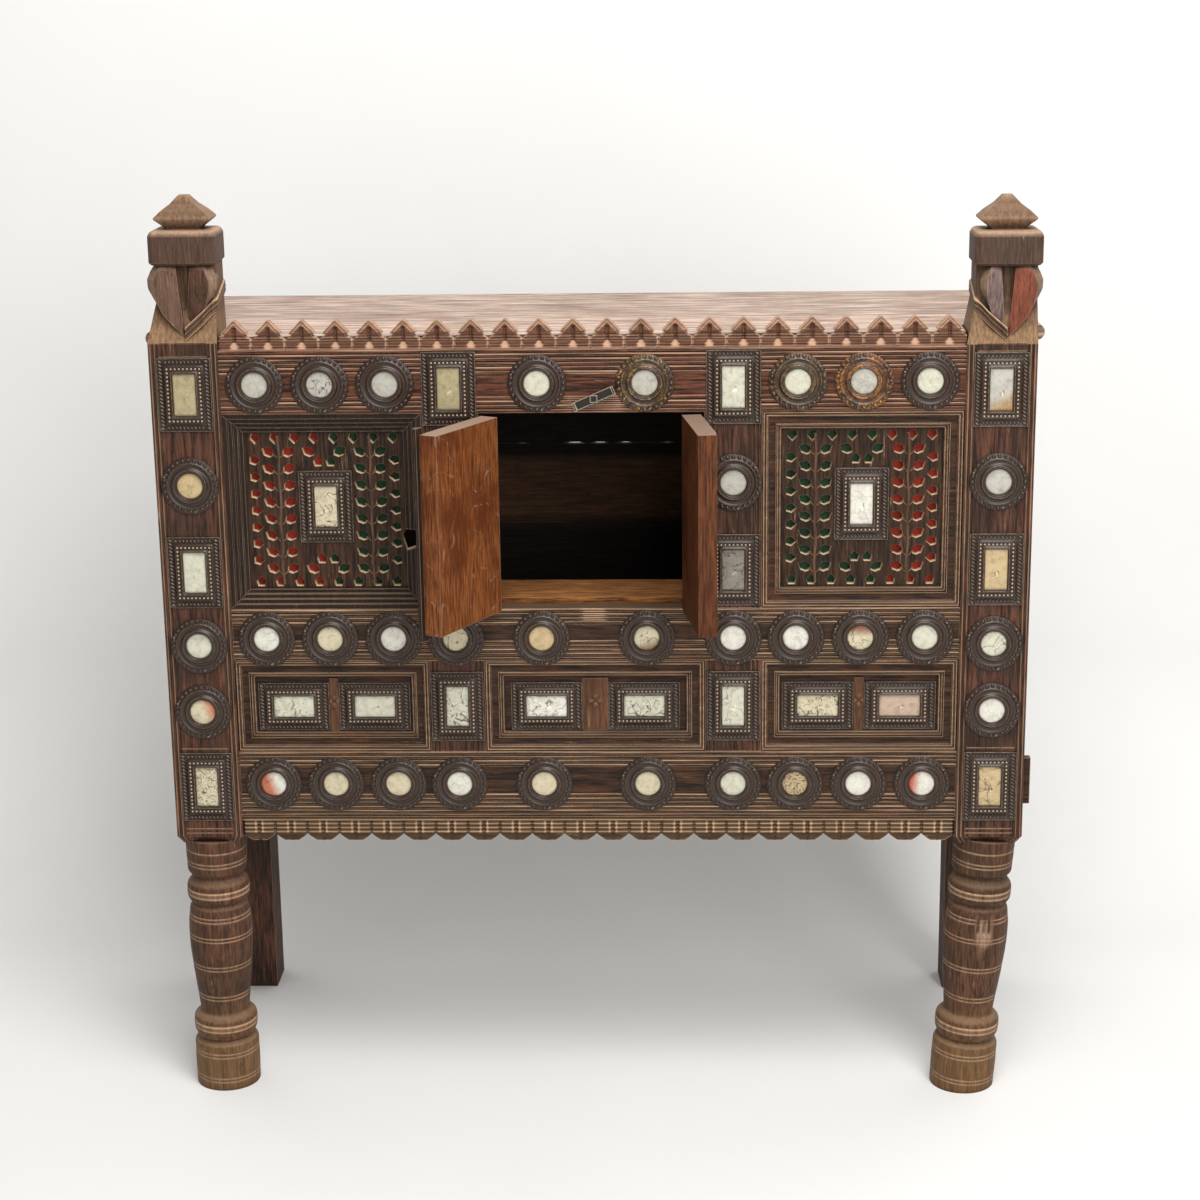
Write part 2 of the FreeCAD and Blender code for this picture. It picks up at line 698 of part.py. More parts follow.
# Crest and apron
def crest_strip():
    """Row of teeth on the top rail between the posts: each has a waist under the eaves of a small gable."""
    pitch = 2 * post_in / TEETH
    half = [(CREST_WAIST_HALF, CREST_WAIST_Z), (CREST_EAVE_HALF, CREST_EAVE_Z), (CREST_TIP, CREST_PEAK)]
    outline = [(post_in, rail_top), (-post_in, rail_top)]
    for k in range(TEETH):
        start = -post_in + k * pitch
        middle = start + pitch / 2
        outline.append((start, rail_top + CREST_VALLEY))
        outline += [(middle - x, rail_top + z) for x, z in half]
        outline += [(middle + x, rail_top + z) for x, z in reversed(half)]
    outline.append((post_in, rail_top + CREST_VALLEY))
    return prism_xz(outline, rail_y, rail_y + CREST_T)


def apron_strip():
    """Strip of flat-bottomed scallops under the bottom rail."""
    pitch = 2 * post_in / TEETH
    low = BOTTOM_RAIL_Z - APRON_H
    outline = [(post_in, BOTTOM_RAIL_Z), (-post_in, BOTTOM_RAIL_Z)]
    for k in range(TEETH):
        start = -post_in + k * pitch
        outline.append((start, low + APRON_NOTCH_H))
        outline += [(start + APRON_NOTCH_W / 2, low), (start + pitch - APRON_NOTCH_W / 2, low)]
    outline.append((post_in, low + APRON_NOTCH_H))
    return prism_xz(outline, rail_y, rail_y + APRON_T)


# Panels, mouldings and backing sheets
def drop_outline(x, z, turn, length, width):
    """Chisel-cut drop, pointed the way it is turned (degrees from +X) and blunt behind."""
    shape = [(0.5, 0.0), (0.05, 0.5), (-0.4, 0.33), (-0.4, -0.33), (0.05, -0.5)]
    return turned_outline(shape, x, z, turn, length, width)


def leaf_outline(x, z, turn, length, width):
    """Chisel-cut leaf, pointed at both ends."""
    shape = [(0.5, 0.0), (0.12, 0.5), (-0.28, 0.42), (-0.5, 0.0), (-0.28, -0.42), (0.12, -0.5)]
    return turned_outline(shape, x, z, turn, length, width)


def turned_outline(shape, x, z, turn, length, width):
    """Points of a unit shape scaled, turned and moved to (x, z)."""
    c = math.cos(math.radians(turn))
    s = math.sin(math.radians(turn))
    scaled = [(u * length, v * width) for u, v in shape]
    return [(x + c * u - s * v, z + s * u + c * v) for u, v in scaled]


def jali_holes():
    """Outlines of the piercing about the panel's centre: two stems with leaves, and drops round the edge."""
    holes = []
    for side in (1, -1):
        for row in range(LEAF_ROWS):
            z = LEAF_PITCH * (row - (LEAF_ROWS - 1) / 2)
            for hand in (1, -1):
                turn = LEAF_TILT if hand > 0 else 180 - LEAF_TILT
                holes.append(leaf_outline(side * STEM_X + hand * LEAF_X, z, turn, LEAF_L, LEAF_W))
        for row in range(DROP_ROWS):
            z = LEAF_PITCH * (row - (DROP_ROWS - 1) / 2)
            holes.append(drop_outline(side * DROP_X, z, 90 + side * 90, DROP_L, DROP_W))
        for level in (1, -1):
            turn = LEAF_TILT if side > 0 else 180 - LEAF_TILT
            holes.append(leaf_outline(side * SPRIG_X, level * SPRIG_Z, turn, LEAF_L, LEAF_W))
            holes.append(drop_outline(side * BUD_X, level * BUD_Z, 90, DROP_L, DROP_W))
    for level in (1, -1):
        for k in range(EDGE_ROW_DROPS):
            x = EDGE_ROW_PITCH * (k - (EDGE_ROW_DROPS - 1) / 2)
            holes.append(drop_outline(x, level * EDGE_ROW_Z, -level * 90, DROP_L, DROP_W))
    return holes


def jali_panel():
    """Right-hand pierced panel."""
    x0 = stile_out - GROOVE
    x1 = post_in + GROOVE
    z0 = upper_bay_z - GROOVE
    z1 = top_rail_z + GROOVE
    corners = [(x0, z0), (x1, z0), (x1, z1), (x0, z1)]
    wide = (bay_w - 2 * MOULDING_W) / JALI_DRAWN_W
    high = (UPPER_BAY_H - 2 * MOULDING_W) / JALI_DRAWN_H
    outlines = [corners]
    outlines += [[(bay_x + wide * x, upper_bay_mid + high * z) for x, z in hole] for hole in jali_holes()]
    wires = [ring_of([Vector(x, panel_y, z) for x, z in points]) for points in outlines]
    face = Part.makeFace(wires, "Part::FaceMakerBullseye")
    return let_in(face.extrude(Vector(0, PANEL_T, 0)))


def moulding_section(x, z, toward_x, toward_z):
    """Corners of a moulding's stepped section, standing in the mitre at one corner of its bay."""
    step = MOULDING_W / MOULDING_REEDS
    points = [(0.0, MOULDING_T)]
    for k in range(MOULDING_REEDS):
        start = k * step + (MOULDING_BEVEL if k else 0.0)
        points += [(start, k * MOULDING_DROP), ((k + 1) * step, k * MOULDING_DROP)]
    points.append((MOULDING_W, MOULDING_T))
    return [Vector(x + toward_x * w, moulding_y + d, z + toward_z * w) for w, d in points]


def moulding(x0, x1, z0, z1):
    """Four mitred bars round a bay."""
    corners = [(x0, z0, 1, 1), (x1, z0, -1, 1), (x1, z1, -1, -1), (x0, z1, 1, -1)]
    sections = [moulding_section(*corner) for corner in corners]
    pairs = zip(sections, sections[1:] + sections[:1])
    return [frustum(a, b) for a, b in pairs]


def broken_corner():
    """Piece broken out of the left jali and its moulding, beside the stile."""
    x0 = -stile_out - CHIP_X
    x1 = x0 - CHIP_W
    z0 = upper_bay_z + CHIP_Z
    z1 = z0 + CHIP_H
    bite = CHIP_W / 4
    outline = [(x0, z0 + bite), (x0, z1), (x1 + bite, z1), (x1, z1 - 2 * bite), (x1 + bite, z0)]
    return prism_xz(outline, moulding_y, panel_back + SHEET_T)


def backing_sheets():
    """Red and green sheets behind the two jali panels: (red pair, green pair)."""
    x0 = stile_out + SHEET_EDGE
    x1 = post_in - SHEET_EDGE
    z0 = upper_bay_z + SHEET_EDGE
    z1 = top_rail_z - SHEET_EDGE
    left_join = -(x1 - LEFT_RED_SHARE * (x1 - x0))
    right_join = x1 - RIGHT_RED_SHARE * (x1 - x0)
    y1 = panel_back + SHEET_T
    red = [box(-x1, left_join, panel_back, y1, z0, z1), box(right_join, x1, panel_back, y1, z0, z1)]
    green = [box(left_join, -x0, panel_back, y1, z0, z1), box(x0, right_join, panel_back, y1, z0, z1)]
    return red, green


# Doors and hinges, made closed and then turned to the angle they stand open at
def hinge_heights():
    """Middles of the two hinges of a leaf."""
    return [leaf_z + HINGE_INSET, leaf_top - HINGE_INSET]


def hinge_plate(x, z):
    """Flat of a flap, clear of the knuckles; it is also the seat cut for the flap."""
    return box(x, x + FLAP_T, knuckle_back, hinge_y + FLAP_D, z - hinge_len / 2, z + hinge_len / 2)


def frame_plate(z):
    """Flat let into the right-hand stile."""
    return hinge_plate(DOOR_HALF, z)


def leaf_plate(z):
    """Flat let into the edge of the right-hand leaf."""
    return hinge_plate(DOOR_HALF - DOOR_GAP_SIDE - FLAP_T, z)


def on_axis(radius, z0, z1):
    """Upright cylinder on the right-hand hinge axis."""
    return Part.makeCylinder(radius, z1 - z0, Vector(hinge_x, hinge_y, z0))


def frame_flap(z):
    """Flap in the stile: its solid knuckle is the lower one and carries the pin."""
    low = z - hinge_len / 2
    top = low + KNUCKLE_L
    tab = box(DOOR_HALF, DOOR_HALF + FLAP_T, hinge_y, knuckle_back, low, top)
    pin = on_axis(PIN_R, low, z + hinge_len / 2 + PIN_SHOW)
    return frame_plate(z).fuse([tab, on_axis(KNUCKLE_R, low, top), pin]).removeSplitter()


def leaf_flap(z):
    """Flap on the leaf: its knuckle is the upper one and drops over the pin."""
    top = z + hinge_len / 2
    low = top - KNUCKLE_L
    edge = DOOR_HALF - DOOR_GAP_SIDE
    tab = box(edge - FLAP_T, edge, hinge_y, knuckle_back, low, top)
    bore = on_axis(PIN_R + RUNNING_GAP, low, top)
    return leaf_plate(z).fuse([tab, on_axis(KNUCKLE_R, low, top)]).cut(bore).removeSplitter()


def batten_relief():
    """Shallow step in the right leaf's edge, under the batten of the left one."""
    return box(0, BATTEN_W, leaf_y, leaf_y + BATTEN_RELIEF, leaf_z, leaf_top)


def door_leaf():
    """Right-hand leaf, closed: a plank with reed lines up the edges of its outer face."""
    x0 = DOOR_GAP_MEETING / 2
    x1 = DOOR_HALF - DOOR_GAP_SIDE
    plank = box(x0, x1, leaf_y, leaf_back, leaf_z, leaf_top)
    seats = [leaf_plate(z) for z in hinge_heights()]
    return plank.cut(edge_reeds(x0, x1, leaf_y, leaf_z, leaf_top, 2) + seats)


def meeting_batten():
    """Rounded batten on the outer face of the left leaf, lapping the joint between the leaves."""
    x0 = -DOOR_GAP_MEETING / 2 - BATTEN_LAP
    x1 = x0 + BATTEN_W
    bevel = BATTEN_T / 2
    front = leaf_y - BATTEN_T
    outline = [(x0, leaf_y), (x1, leaf_y), (x1, front + bevel), (x1 - bevel, front), (x0 + bevel, front)]
    outline.append((x0, front + bevel))
    return prism_xy(outline, leaf_z - BATTEN_OVER, leaf_top + BATTEN_OVER)


def opened(shape, side):
    """Turn a closed piece of the right (1) or left (-1) door to the angle it stands open at."""
    angle = RIGHT_REST_DEG if side > 0 else -LEFT_REST_DEG
    return shape.rotated(Vector(side * hinge_x, hinge_y, 0), Vector(0, 0, 1), angle)


def door_sill():
    """Sill behind the middle rail, with the lip that stops the leaves."""
    top = upper_bay_z + SILL_STOP
    front = leaf_back + SILL_STOP_GAP
    shelf = box(-SILL_HALF, SILL_HALF, rail_back, front + SILL_D, top - SILL_T, top)
    lip = box(-DOOR_HALF, DOOR_HALF, front, rail_back, upper_bay_z, top)
    return shelf.fuse(lip).removeSplitter()


# Turn button above the doors
def turn_button():
    """Iron strip with lipped ends and a boss behind it, tilted as it hangs."""
    half = BUTTON_L / 2
    front = button_back - BUTTON_T
    strip = box(-half, half, front, button_back, -BUTTON_W / 2, BUTTON_W / 2)
    lip = box(half - BUTTON_T, half, front - BUTTON_LIP, front, -BUTTON_W / 2, BUTTON_W / 2)
    boss = along_y(BOSS_R, button_back, rail_y - SEAT_GAP, 0, 0)
    bore = along_y(NAIL_R + RUNNING_GAP, front, rail_y, 0, 0)
    button = strip.fuse(both(lip) + [boss]).cut(bore).removeSplitter()
    tilted = button.rotated(Vector(0, 0, 0), Vector(0, 1, 0), -BUTTON_TILT_DEG)
    return tilted.translated(Vector(BUTTON_X, 0, button_z))


def turn_button_nail():
    """Square-headed nail that the button turns on."""
    seat = button_back - BUTTON_T - SEAT_GAP
    shaft = along_y(NAIL_R, seat, rail_y + NAIL_DEPTH, BUTTON_X, button_z)
    half = NAIL_HEAD / 2
    head = box(BUTTON_X - half, BUTTON_X + half, seat - NAIL_HEAD_T, seat, button_z - half, button_z + half)
    return shaft.fuse(head).removeSplitter()


# Sides, back, floor and top
def side_tenon(z, face):
    """Right-hand side rail's tenon at the face of the front or rear post, which is also its mortise."""
    y0 = face - TENON_L / 2 if face == POST_D else face
    x0 = side_mid - TENON_T / 2
    z1 = z + side_rail_height(z) - TENON_SHOULDER
    return box(x0, x0 + TENON_T, y0, y0 + TENON_L / 2, z + TENON_SHOULDER, z1)


def side_rail_height(z):
    """Height of a side or back rail: the bottom ones match the front rail."""
    return BOTTOM_RAIL_H if z == BOTTOM_RAIL_Z else SIDE_RAIL_H


def back_tenon(z):
    """Right-hand tenon of a back rail, which is also its mortise."""
    y0 = back_mid - TENON_T / 2
    z1 = z + side_rail_height(z) - TENON_SHOULDER
    return box(rear_in, rear_in + TENON_L / 2, y0, y0 + TENON_T, z + TENON_SHOULDER, z1)


def side_wall_box():
    """Space of the right-hand side boards with their tongues."""
    x0 = side_mid - BOARD_T / 2
    return box(x0, x0 + BOARD_T, POST_D - GROOVE, rear_y + GROOVE, lower_bay_z - GROOVE, side_top_z + GROOVE)


def back_wall_box():
    """Space of the back boards with their tongues."""
    half = rear_in + GROOVE
    y0 = back_mid - BOARD_T / 2
    return box(-half, half, y0, y0 + BOARD_T, lower_bay_z - GROOVE, side_top_z + GROOVE)


def side_rail(z):
    """Right-hand side rail."""
    rail = box(side_in, side_out, POST_D, rear_y, z, z + side_rail_height(z))
    return rail.fuse([side_tenon(z, POST_D), side_tenon(z, rear_y)]).cut(side_wall_box())


def back_rail(z, housings):
    """Rail between the rear posts."""
    rail = box(-rear_in, rear_in, back_in, back_out, z, z + side_rail_height(z))
    return rail.fuse(both(back_tenon(z))).cut([back_wall_box()] + housings)


def boards_in(space):
    """Level boards, one above the other with open joints, that fill a wall's space."""
    b = space.BoundBox
    pitch = (b.ZLength + BOARD_GAP) / WALL_BOARDS
    starts = [b.ZMin + k * pitch for k in range(WALL_BOARDS)]
    return [box(b.XMin, b.XMax, b.YMin, b.YMax, z, z + pitch - BOARD_GAP) for z in starts]


def bearer_box():
    """Right-hand floor bearer, housed in the front and back bottom rails."""
    x0 = BEARER_X - BEARER_W / 2
    y0 = rail_back - BEARER_HOUSING
    return box(x0, x0 + BEARER_W, y0, back_in + BEARER_HOUSING, floor_under - BEARER_H, floor_under)


def floor_boards():
    """Long boards on the bearers, cut short where a post stands in the way."""
    depth = (back_in - rail_back) / FLOOR_BOARDS
    boards = []
    for k in range(FLOOR_BOARDS):
        y0 = rail_back + k * depth
        y1 = y0 + depth - FIT
        half = side_in - FIT
        if y0 < POST_D:
            half = post_in - FIT
        elif y1 > rear_y:
            half = rear_in - FIT
        boards.append(box(-half, half, y0, y1, floor_under, floor_top))
    return boards


def nosed_board(y0, y1):
    """Board across the top whose ends stand out past the sides and are rounded."""
    r = TOP_T / 2
    end = half_width + TOP_OVERHANG - r
    top = board_under + TOP_T
    low_left = Vector(-end, y0, board_under)
    low_right = Vector(end, y0, board_under)
    top_right = Vector(end, y0, top)
    top_left = Vector(-end, y0, top)
    right = Part.Arc(low_right, Vector(end + r, y0, board_under + r), top_right).toShape()
    left = Part.Arc(top_left, Vector(-end - r, y0, board_under + r), low_left).toShape()
    edges = [Part.makeLine(low_left, low_right), right, Part.makeLine(top_right, top_left), left]
    return Part.Face(Part.Wire(edges)).extrude(Vector(0, y1 - y0, 0))


def top_board_front():
    """Front board of the top: a tongue between the posts and the full width behind them."""
    y0 = rail_y + CREST_T
    tongue = box(-post_in, post_in, y0, POST_D, board_under, board_under + TOP_T)
    return tongue.fuse(nosed_board(POST_D, y0 + TOP_FRONT_D)).removeSplitter()


def top_board_rear():
    return nosed_board(rail_y + CREST_T + TOP_FRONT_D, DEPTH)


def assemble():
    """All the sub-parts by name, each a list of solids."""
    parts = {}

    def pair(name, shape):
        parts[name + "_right"] = [shape]
        parts[name + "_left"] = [mirrored(shape)]

    parts["front_post_right"] = [front_post(RIGHT_LEG_LEAN_DEG, HEAD_ASIDE, 0.0, RIGHT_HEAD_DROP)]
    parts["front_post_left"] = [mirrored(front_post(0.0, -HEAD_ASIDE, LEFT_SHOULDER_UP, 0.0))]
    pair("rear_post", rear_post())
    parts["top_rail"] = [top_rail()]
    parts["middle_rail"] = [middle_rail()]
    parts["bottom_rail"] = [bottom_rail()]
    pair("door_stile", door_stile())
    pair("lower_muntin", lower_muntin())
    parts["crest_strip"] = [crest_strip()]
    parts["apron_strip"] = [apron_strip()]
    pair("jali_panel", jali_panel())
    parts["backing_sheet_red"], parts["backing_sheet_green"] = backing_sheets()
    pair("lower_panel", let_in(lower_panel_box()))
    parts["lower_panel_middle"] = [let_in(middle_panel_box())]
    parts["jali_moulding_right"] = moulding(stile_out, post_in, upper_bay_z, top_rail_z)
    parts["jali_moulding_left"] = moulding(-post_in, -stile_out, upper_bay_z, top_rail_z)
    parts["lower_moulding_right"] = moulding(stile_out, post_in, lower_bay_z, middle_rail_z)
    parts["lower_moulding_middle"] = moulding(-DOOR_HALF, DOOR_HALF, lower_bay_z, middle_rail_z)
    parts["lower_moulding_left"] = moulding(-post_in, -stile_out, lower_bay_z, middle_rail_z)

    for name in ("jali_panel_left", "jali_moulding_left", "backing_sheet_green"):
        parts[name] = [shape.cut(broken_corner()) for shape in parts[name]]
    parts["round_frames"] = [round_frame(place) for place in round_places()]
    parts["round_panes"] = round_panes()
    parts["upright_frames"] = [oblong_frame(p, PLATE_W, PLATE_H, PLATE_RIM) for p in upright_places()]
    parts["upright_panes"] = upright_panes()
    lying = lying_places()
    parts["panel_frames"] = [oblong_frame(p, width, panel_plate_h, PANEL_PLATE_RIM) for p, width in lying]
    parts["panel_panes"] = lying_panes()

    parts["door_leaf_right"] = [opened(door_leaf().cut(batten_relief()), 1)]
    parts["door_leaf_left"] = [opened(mirrored(door_leaf()), -1)]
    parts["meeting_batten"] = [opened(meeting_batten(), -1)]
    flaps = [leaf_flap(z) for z in hinge_heights()]
    parts["hinge_leaf_flaps_right"] = [opened(flap, 1) for flap in flaps]
    parts["hinge_leaf_flaps_left"] = [opened(mirrored(flap), -1) for flap in flaps]
    parts["hinge_frame_flaps"] = [shape for z in hinge_heights() for shape in both(frame_flap(z))]
    parts["door_sill"] = [door_sill()]
    parts["turn_button"] = [turn_button()]
    parts["turn_button_nail"] = [turn_button_nail()]

    pair("side_top_rail", side_rail(side_top_z))
    pair("side_bottom_rail", side_rail(BOTTOM_RAIL_Z))
    parts["side_boards_right"] = boards_in(side_wall_box())
    parts["side_boards_left"] = [mirrored(board) for board in boards_in(side_wall_box())]
    parts["back_top_rail"] = [back_rail(side_top_z, [])]
    parts["back_bottom_rail"] = [back_rail(BOTTOM_RAIL_Z, both(bearer_box()))]
    parts["back_boards"] = boards_in(back_wall_box())
    pair("floor_bearer", bearer_box())
    parts["floor_boards"] = floor_boards()
    parts["top_board_front"] = [top_board_front()]
    parts["top_board_rear"] = [top_board_rear()]
    return parts


def export(parts):
    """Move the pieces so that the origin is under the middle of the whole box, and write one file each."""
    os.makedirs("parts", exist_ok=True)
    whole = Part.makeCompound([shape for shapes in parts.values() for shape in shapes]).BoundBox
    shift = Vector(-(whole.XMin + whole.XMax) / 2, -(whole.YMin + whole.YMax) / 2, 0)
    for name, shapes in parts.items():
        moved = [shape.translated(shift) for shape in shapes]
        piece = moved[0] if len(moved) == 1 else Part.makeCompound(moved)
        piece.exportStep("parts/" + name + ".step")
    print("box", whole.XLength, whole.YLength, "shift", shift)
    return shift


model = assemble()
origin_shift = export(model)
print(len(model), "nodes,", sum(len(shapes) for shapes in model.values()), "solids")
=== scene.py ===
# %% [markdown]
# # A mirrored dowry cabinet
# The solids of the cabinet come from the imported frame, in metres: +X to the right, +Y to the back, +Z up.
# This lesson gives them their finishes and adds what a carver, a brass beater and years of use left on them.
# Every new piece is a surface worked out with numpy, in millimetres on the cabinet's own drawing, where
# Y = 0 is the front face of the posts. One function moves that drawing into the frame.

# %% Load the frame
import math
from functools import partial

import bpy
import numpy as np

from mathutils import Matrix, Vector


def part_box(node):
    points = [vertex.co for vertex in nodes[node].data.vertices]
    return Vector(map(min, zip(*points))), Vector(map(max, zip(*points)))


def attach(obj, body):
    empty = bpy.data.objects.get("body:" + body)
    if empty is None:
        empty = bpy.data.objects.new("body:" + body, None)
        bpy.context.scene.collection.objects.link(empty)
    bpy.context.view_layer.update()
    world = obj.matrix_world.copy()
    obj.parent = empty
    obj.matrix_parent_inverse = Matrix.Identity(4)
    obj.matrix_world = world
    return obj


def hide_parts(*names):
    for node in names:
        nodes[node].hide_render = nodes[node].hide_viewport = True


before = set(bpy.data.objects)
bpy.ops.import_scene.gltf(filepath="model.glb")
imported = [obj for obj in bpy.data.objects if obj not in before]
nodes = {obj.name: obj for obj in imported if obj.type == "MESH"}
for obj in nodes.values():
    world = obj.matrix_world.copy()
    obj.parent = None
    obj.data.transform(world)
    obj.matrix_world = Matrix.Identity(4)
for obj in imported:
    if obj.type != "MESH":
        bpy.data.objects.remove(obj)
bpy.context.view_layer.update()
scene = bpy.context.scene
DEPTH = 397.0
SHIFT_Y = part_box("rear_post_right")[1].y * 1000.0 - DEPTH
print("frame loaded:", len(nodes), "nodes, drawing shifted by", round(SHIFT_Y, 2), "mm")

# %% [markdown]
# ## Camera
# The camera's place was worked out from the photograph's perspective: its height, tilt and lens follow from
# the slant of the cabinet's own edges. Its axes are written down, so that no angle is rounded.

# %% Camera
CAMERA_AT = (119.66, -2953.64, 1463.46)
CAMERA_RIGHT = (0.99933, 0.03429, -0.01287)
CAMERA_UP = (0.00364, 0.25664, 0.96650)
CAMERA_LENS, SENSOR = 72.37, 36.0


def placed(points):
    """Drawing millimetres to frame metres: shift along Y, then divide by 1000."""
    return (np.asarray(points, float) + (0.0, SHIFT_Y, 0.0)) / 1000.0


def aim_camera():
    """Camera whose three axes are given: right, up, and their cross product pointing back."""
    right, up = np.array(CAMERA_RIGHT), np.array(CAMERA_UP)
    turn = np.eye(4)
    turn[:3, :3] = np.column_stack([right, up, np.cross(right, up)])
    turn[:3, 3] = placed(CAMERA_AT)
    lens = bpy.data.cameras.new("camera")
    lens.sensor_fit = "HORIZONTAL"
    lens.sensor_width = SENSOR
    lens.lens = CAMERA_LENS
    camera = bpy.data.objects.new("camera", lens)
    scene.collection.objects.link(camera)
    camera.matrix_world = turn.T.tolist()
    return camera


scene.camera = aim_camera()
scene.view_settings.view_transform = "Standard"
print("camera at", np.round(placed(CAMERA_AT), 3))

# %% [markdown]
# ## Meshes from arrays
# A surface is a grid of points with two running numbers, so its faces follow from the grid's size alone.
# A shape is written as its points, its faces and then its marks, values kept at each point: how far it is
# rubbed ("wear") and what colour it took ("stain"). Shapes are copied and joined together with their marks.

# %% Grid helpers


def spread(x, y, z):
    """Three coordinate arrays, spread over each other's axes, as one array of points."""
    return np.stack(np.broadcast_arrays(x, y, z), axis=-1)


def bells(values, centres, width):
    """Sum of bell curves exp(-((v - c) / w)^2), one at each centre c."""
    return np.exp(-((values[..., None] - np.atleast_1d(centres)) / width) ** 2).sum(axis=-1)


def grid_quads(rows, columns, wrap_rows=False, wrap_columns=False):
    """Corner numbers of the quads of a rows by columns grid, joined round where it wraps."""
    i = np.arange(rows if wrap_rows else rows - 1)
    j = np.arange(columns if wrap_columns else columns - 1)
    i, j = [a.ravel() for a in np.meshgrid(i, j, indexing="ij")]
    up, over = (i + 1) % rows, (j + 1) % columns
    return np.column_stack([i * columns + j, i * columns + over, up * columns + over, up * columns + j])


def loft(rings, closed=False):
    """Skin over stacked rings of points: a closed loft joins its last ring to its first, others get caps.

    A cap is a fan of quads, so a ring under a cap has an even number of points."""
    rows, columns = rings.shape[:2]
    faces = [grid_quads(rows, columns, closed, True)]
    if not closed:
        k = np.arange(1, columns - 2, 2)
        fan = np.column_stack([np.zeros_like(k), k, k + 1, k + 2])
        faces += [fan[:, ::-1], fan + (rows - 1) * columns]
    return rings.reshape(-1, 3), np.concatenate(faces)


def joined(shapes):
    """Several shapes as one, with each one's corner numbers moved on."""
    points, faces, *marks = zip(*shapes)
    starts = np.cumsum([0] + [len(p) for p in points[:-1]])
    moved = np.concatenate([face + start for face, start in zip(faces, starts)])
    return (np.concatenate(points), moved, *map(np.concatenate, marks))


def copied(faces, count, size):
    """Faces of several copies of a shape that has size points."""
    return (faces + np.arange(count)[:, None, None] * size).reshape(-1, faces.shape[1])


def repeated(shape, places):
    """Copies of one shape at many places, each of which starts with its x, y and z."""
    points, faces, *marks = shape
    offsets = np.array([place[:3] for place in places], float)
    moved = (points + offsets[:, None]).reshape(-1, 3)
    marks = [np.concatenate([mark] * len(offsets)) for mark in marks]
    return (moved, copied(faces, len(offsets), len(points)), *marks)


def make_piece(name, shape, material, slot="dark_wood", smooth=False, takes=None, **marks):
    """Mesh object at the origin from a shape on the drawing; takes names the solid that it stands for.

    Marks become attributes. A stain's share has one of its own, because a missing attribute then reads 0."""
    points, faces, *own = shape
    marks.update(zip(("wear", "stain"), own))
    if "stain" in marks:
        marks["stain_share"] = marks["stain"][:, 3]
    mesh = bpy.data.meshes.new(name)
    mesh.from_pydata(placed(points).tolist(), [], faces.tolist())
    for key, values in marks.items():
        kind, field = ("FLOAT", "value") if values.ndim == 1 else ("FLOAT_COLOR", "color")
        mesh.attributes.new(key, kind, "POINT").data.foreach_set(field, values.astype(np.float32).ravel())
    mesh.polygons.foreach_set("use_smooth", np.full(len(mesh.polygons), smooth))
    mesh.update()
    mesh.validate()
    mesh.materials.append(material)
    piece = bpy.data.objects.new(name, mesh)
    scene.collection.objects.link(piece)
    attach(piece, "carcass")
    if takes:
        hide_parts(takes)
    print(name, len(mesh.vertices), "points,", len(mesh.polygons), "faces")


# %% [markdown]
# ## Finishes
# One function adds a node with its settings and links. Colours are written as sRGB hex values and
# turned to linear light by one function.

# %% Node and colour helpers


def linear(code):
    """sRGB hex to linear RGBA: c/12.92 below 0.04045, else ((c + 0.055) / 1.055) ** 2.4."""
    channels = np.array([int(code[k:k + 2], 16) for k in (1, 3, 5)]) / 255.0
    light = np.where(channels <= 0.04045, channels / 12.92, ((channels + 0.055) / 1.055) ** 2.4)
    return (*light.tolist(), 1.0)


def paint(code, share):
    """A stain: its linear colour, and its share in place of alpha."""
    return np.array((*linear(code)[:3], share))


def fill(node, values):
    """Fill or link a node's inputs, by key from a dict or in order from a tuple; a hex code is a colour."""
    for key, value in values.items() if isinstance(values, dict) else enumerate(values):
        if isinstance(value, bpy.types.NodeSocket):
            node.id_data.links.new(value, node.inputs[key])
        else:
            node.inputs[key].default_value = linear(value) if isinstance(value, str) else value


def add(tree, kind, values=(), out=0, **settings):
    """Add one node, set its properties, fill its inputs, and return an output, or itself if out is None."""
    node = tree.nodes.new("ShaderNode" + kind)
    for key, value in settings.items():
        setattr(node, key, value)
    fill(node, values)
    return node if out is None else node.outputs[out]


# A mix of two colours has its share in input 0, the colours in 6 and 7, and the result in output 2
BLEND = {"out": 2, "data_type": "RGBA"}


def new_material(name):
    """Material with only a shader and an output; add() for its tree, its shader and Object coordinates."""
    material = bpy.data.materials.new(name)
    material.use_nodes = True
    material.node_tree.nodes.clear()
    node = partial(add, material.node_tree)
    shader = node("BsdfPrincipled", out=None)
    node("OutputMaterial", (shader.outputs["BSDF"],), None)
    return material, node, shader, node("TexCoord", out="Object")


def rubbed_share(node, edge_mm, edges, noise, least, most):
    """Where hands rub: eased edges and the piece's own wear, first whole and then broken up by a noise."""
    eased = node("Bevel", {"Radius": edge_mm / 1000}, samples=4)
    facing = node("NewGeometry", out="Normal")
    alike = node("VectorMath", (eased, facing), "Value", operation="DOT_PRODUCT")
    edge = node("MapRange", (alike, 0.99, 0.8, 0.0, edges))
    own = node("Attribute", out="Fac", attribute_name="wear")
    wear = node("Math", (edge, own), operation="MAXIMUM")
    broken = node("Math", (wear, noise), operation="MULTIPLY")
    return wear, node("MapRange", (broken, least, most))


def hairlines(node, where, settings, wide, thin, most):
    """Thin lines where a noise crosses its middle value."""
    field = node("TexNoise", {"Vector": where, **settings})
    level = node("Math", (field, 0.5), operation="SUBTRACT")
    level = node("Math", (level,), operation="ABSOLUTE")
    return node("MapRange", (level, wide, thin, 0.0, most))
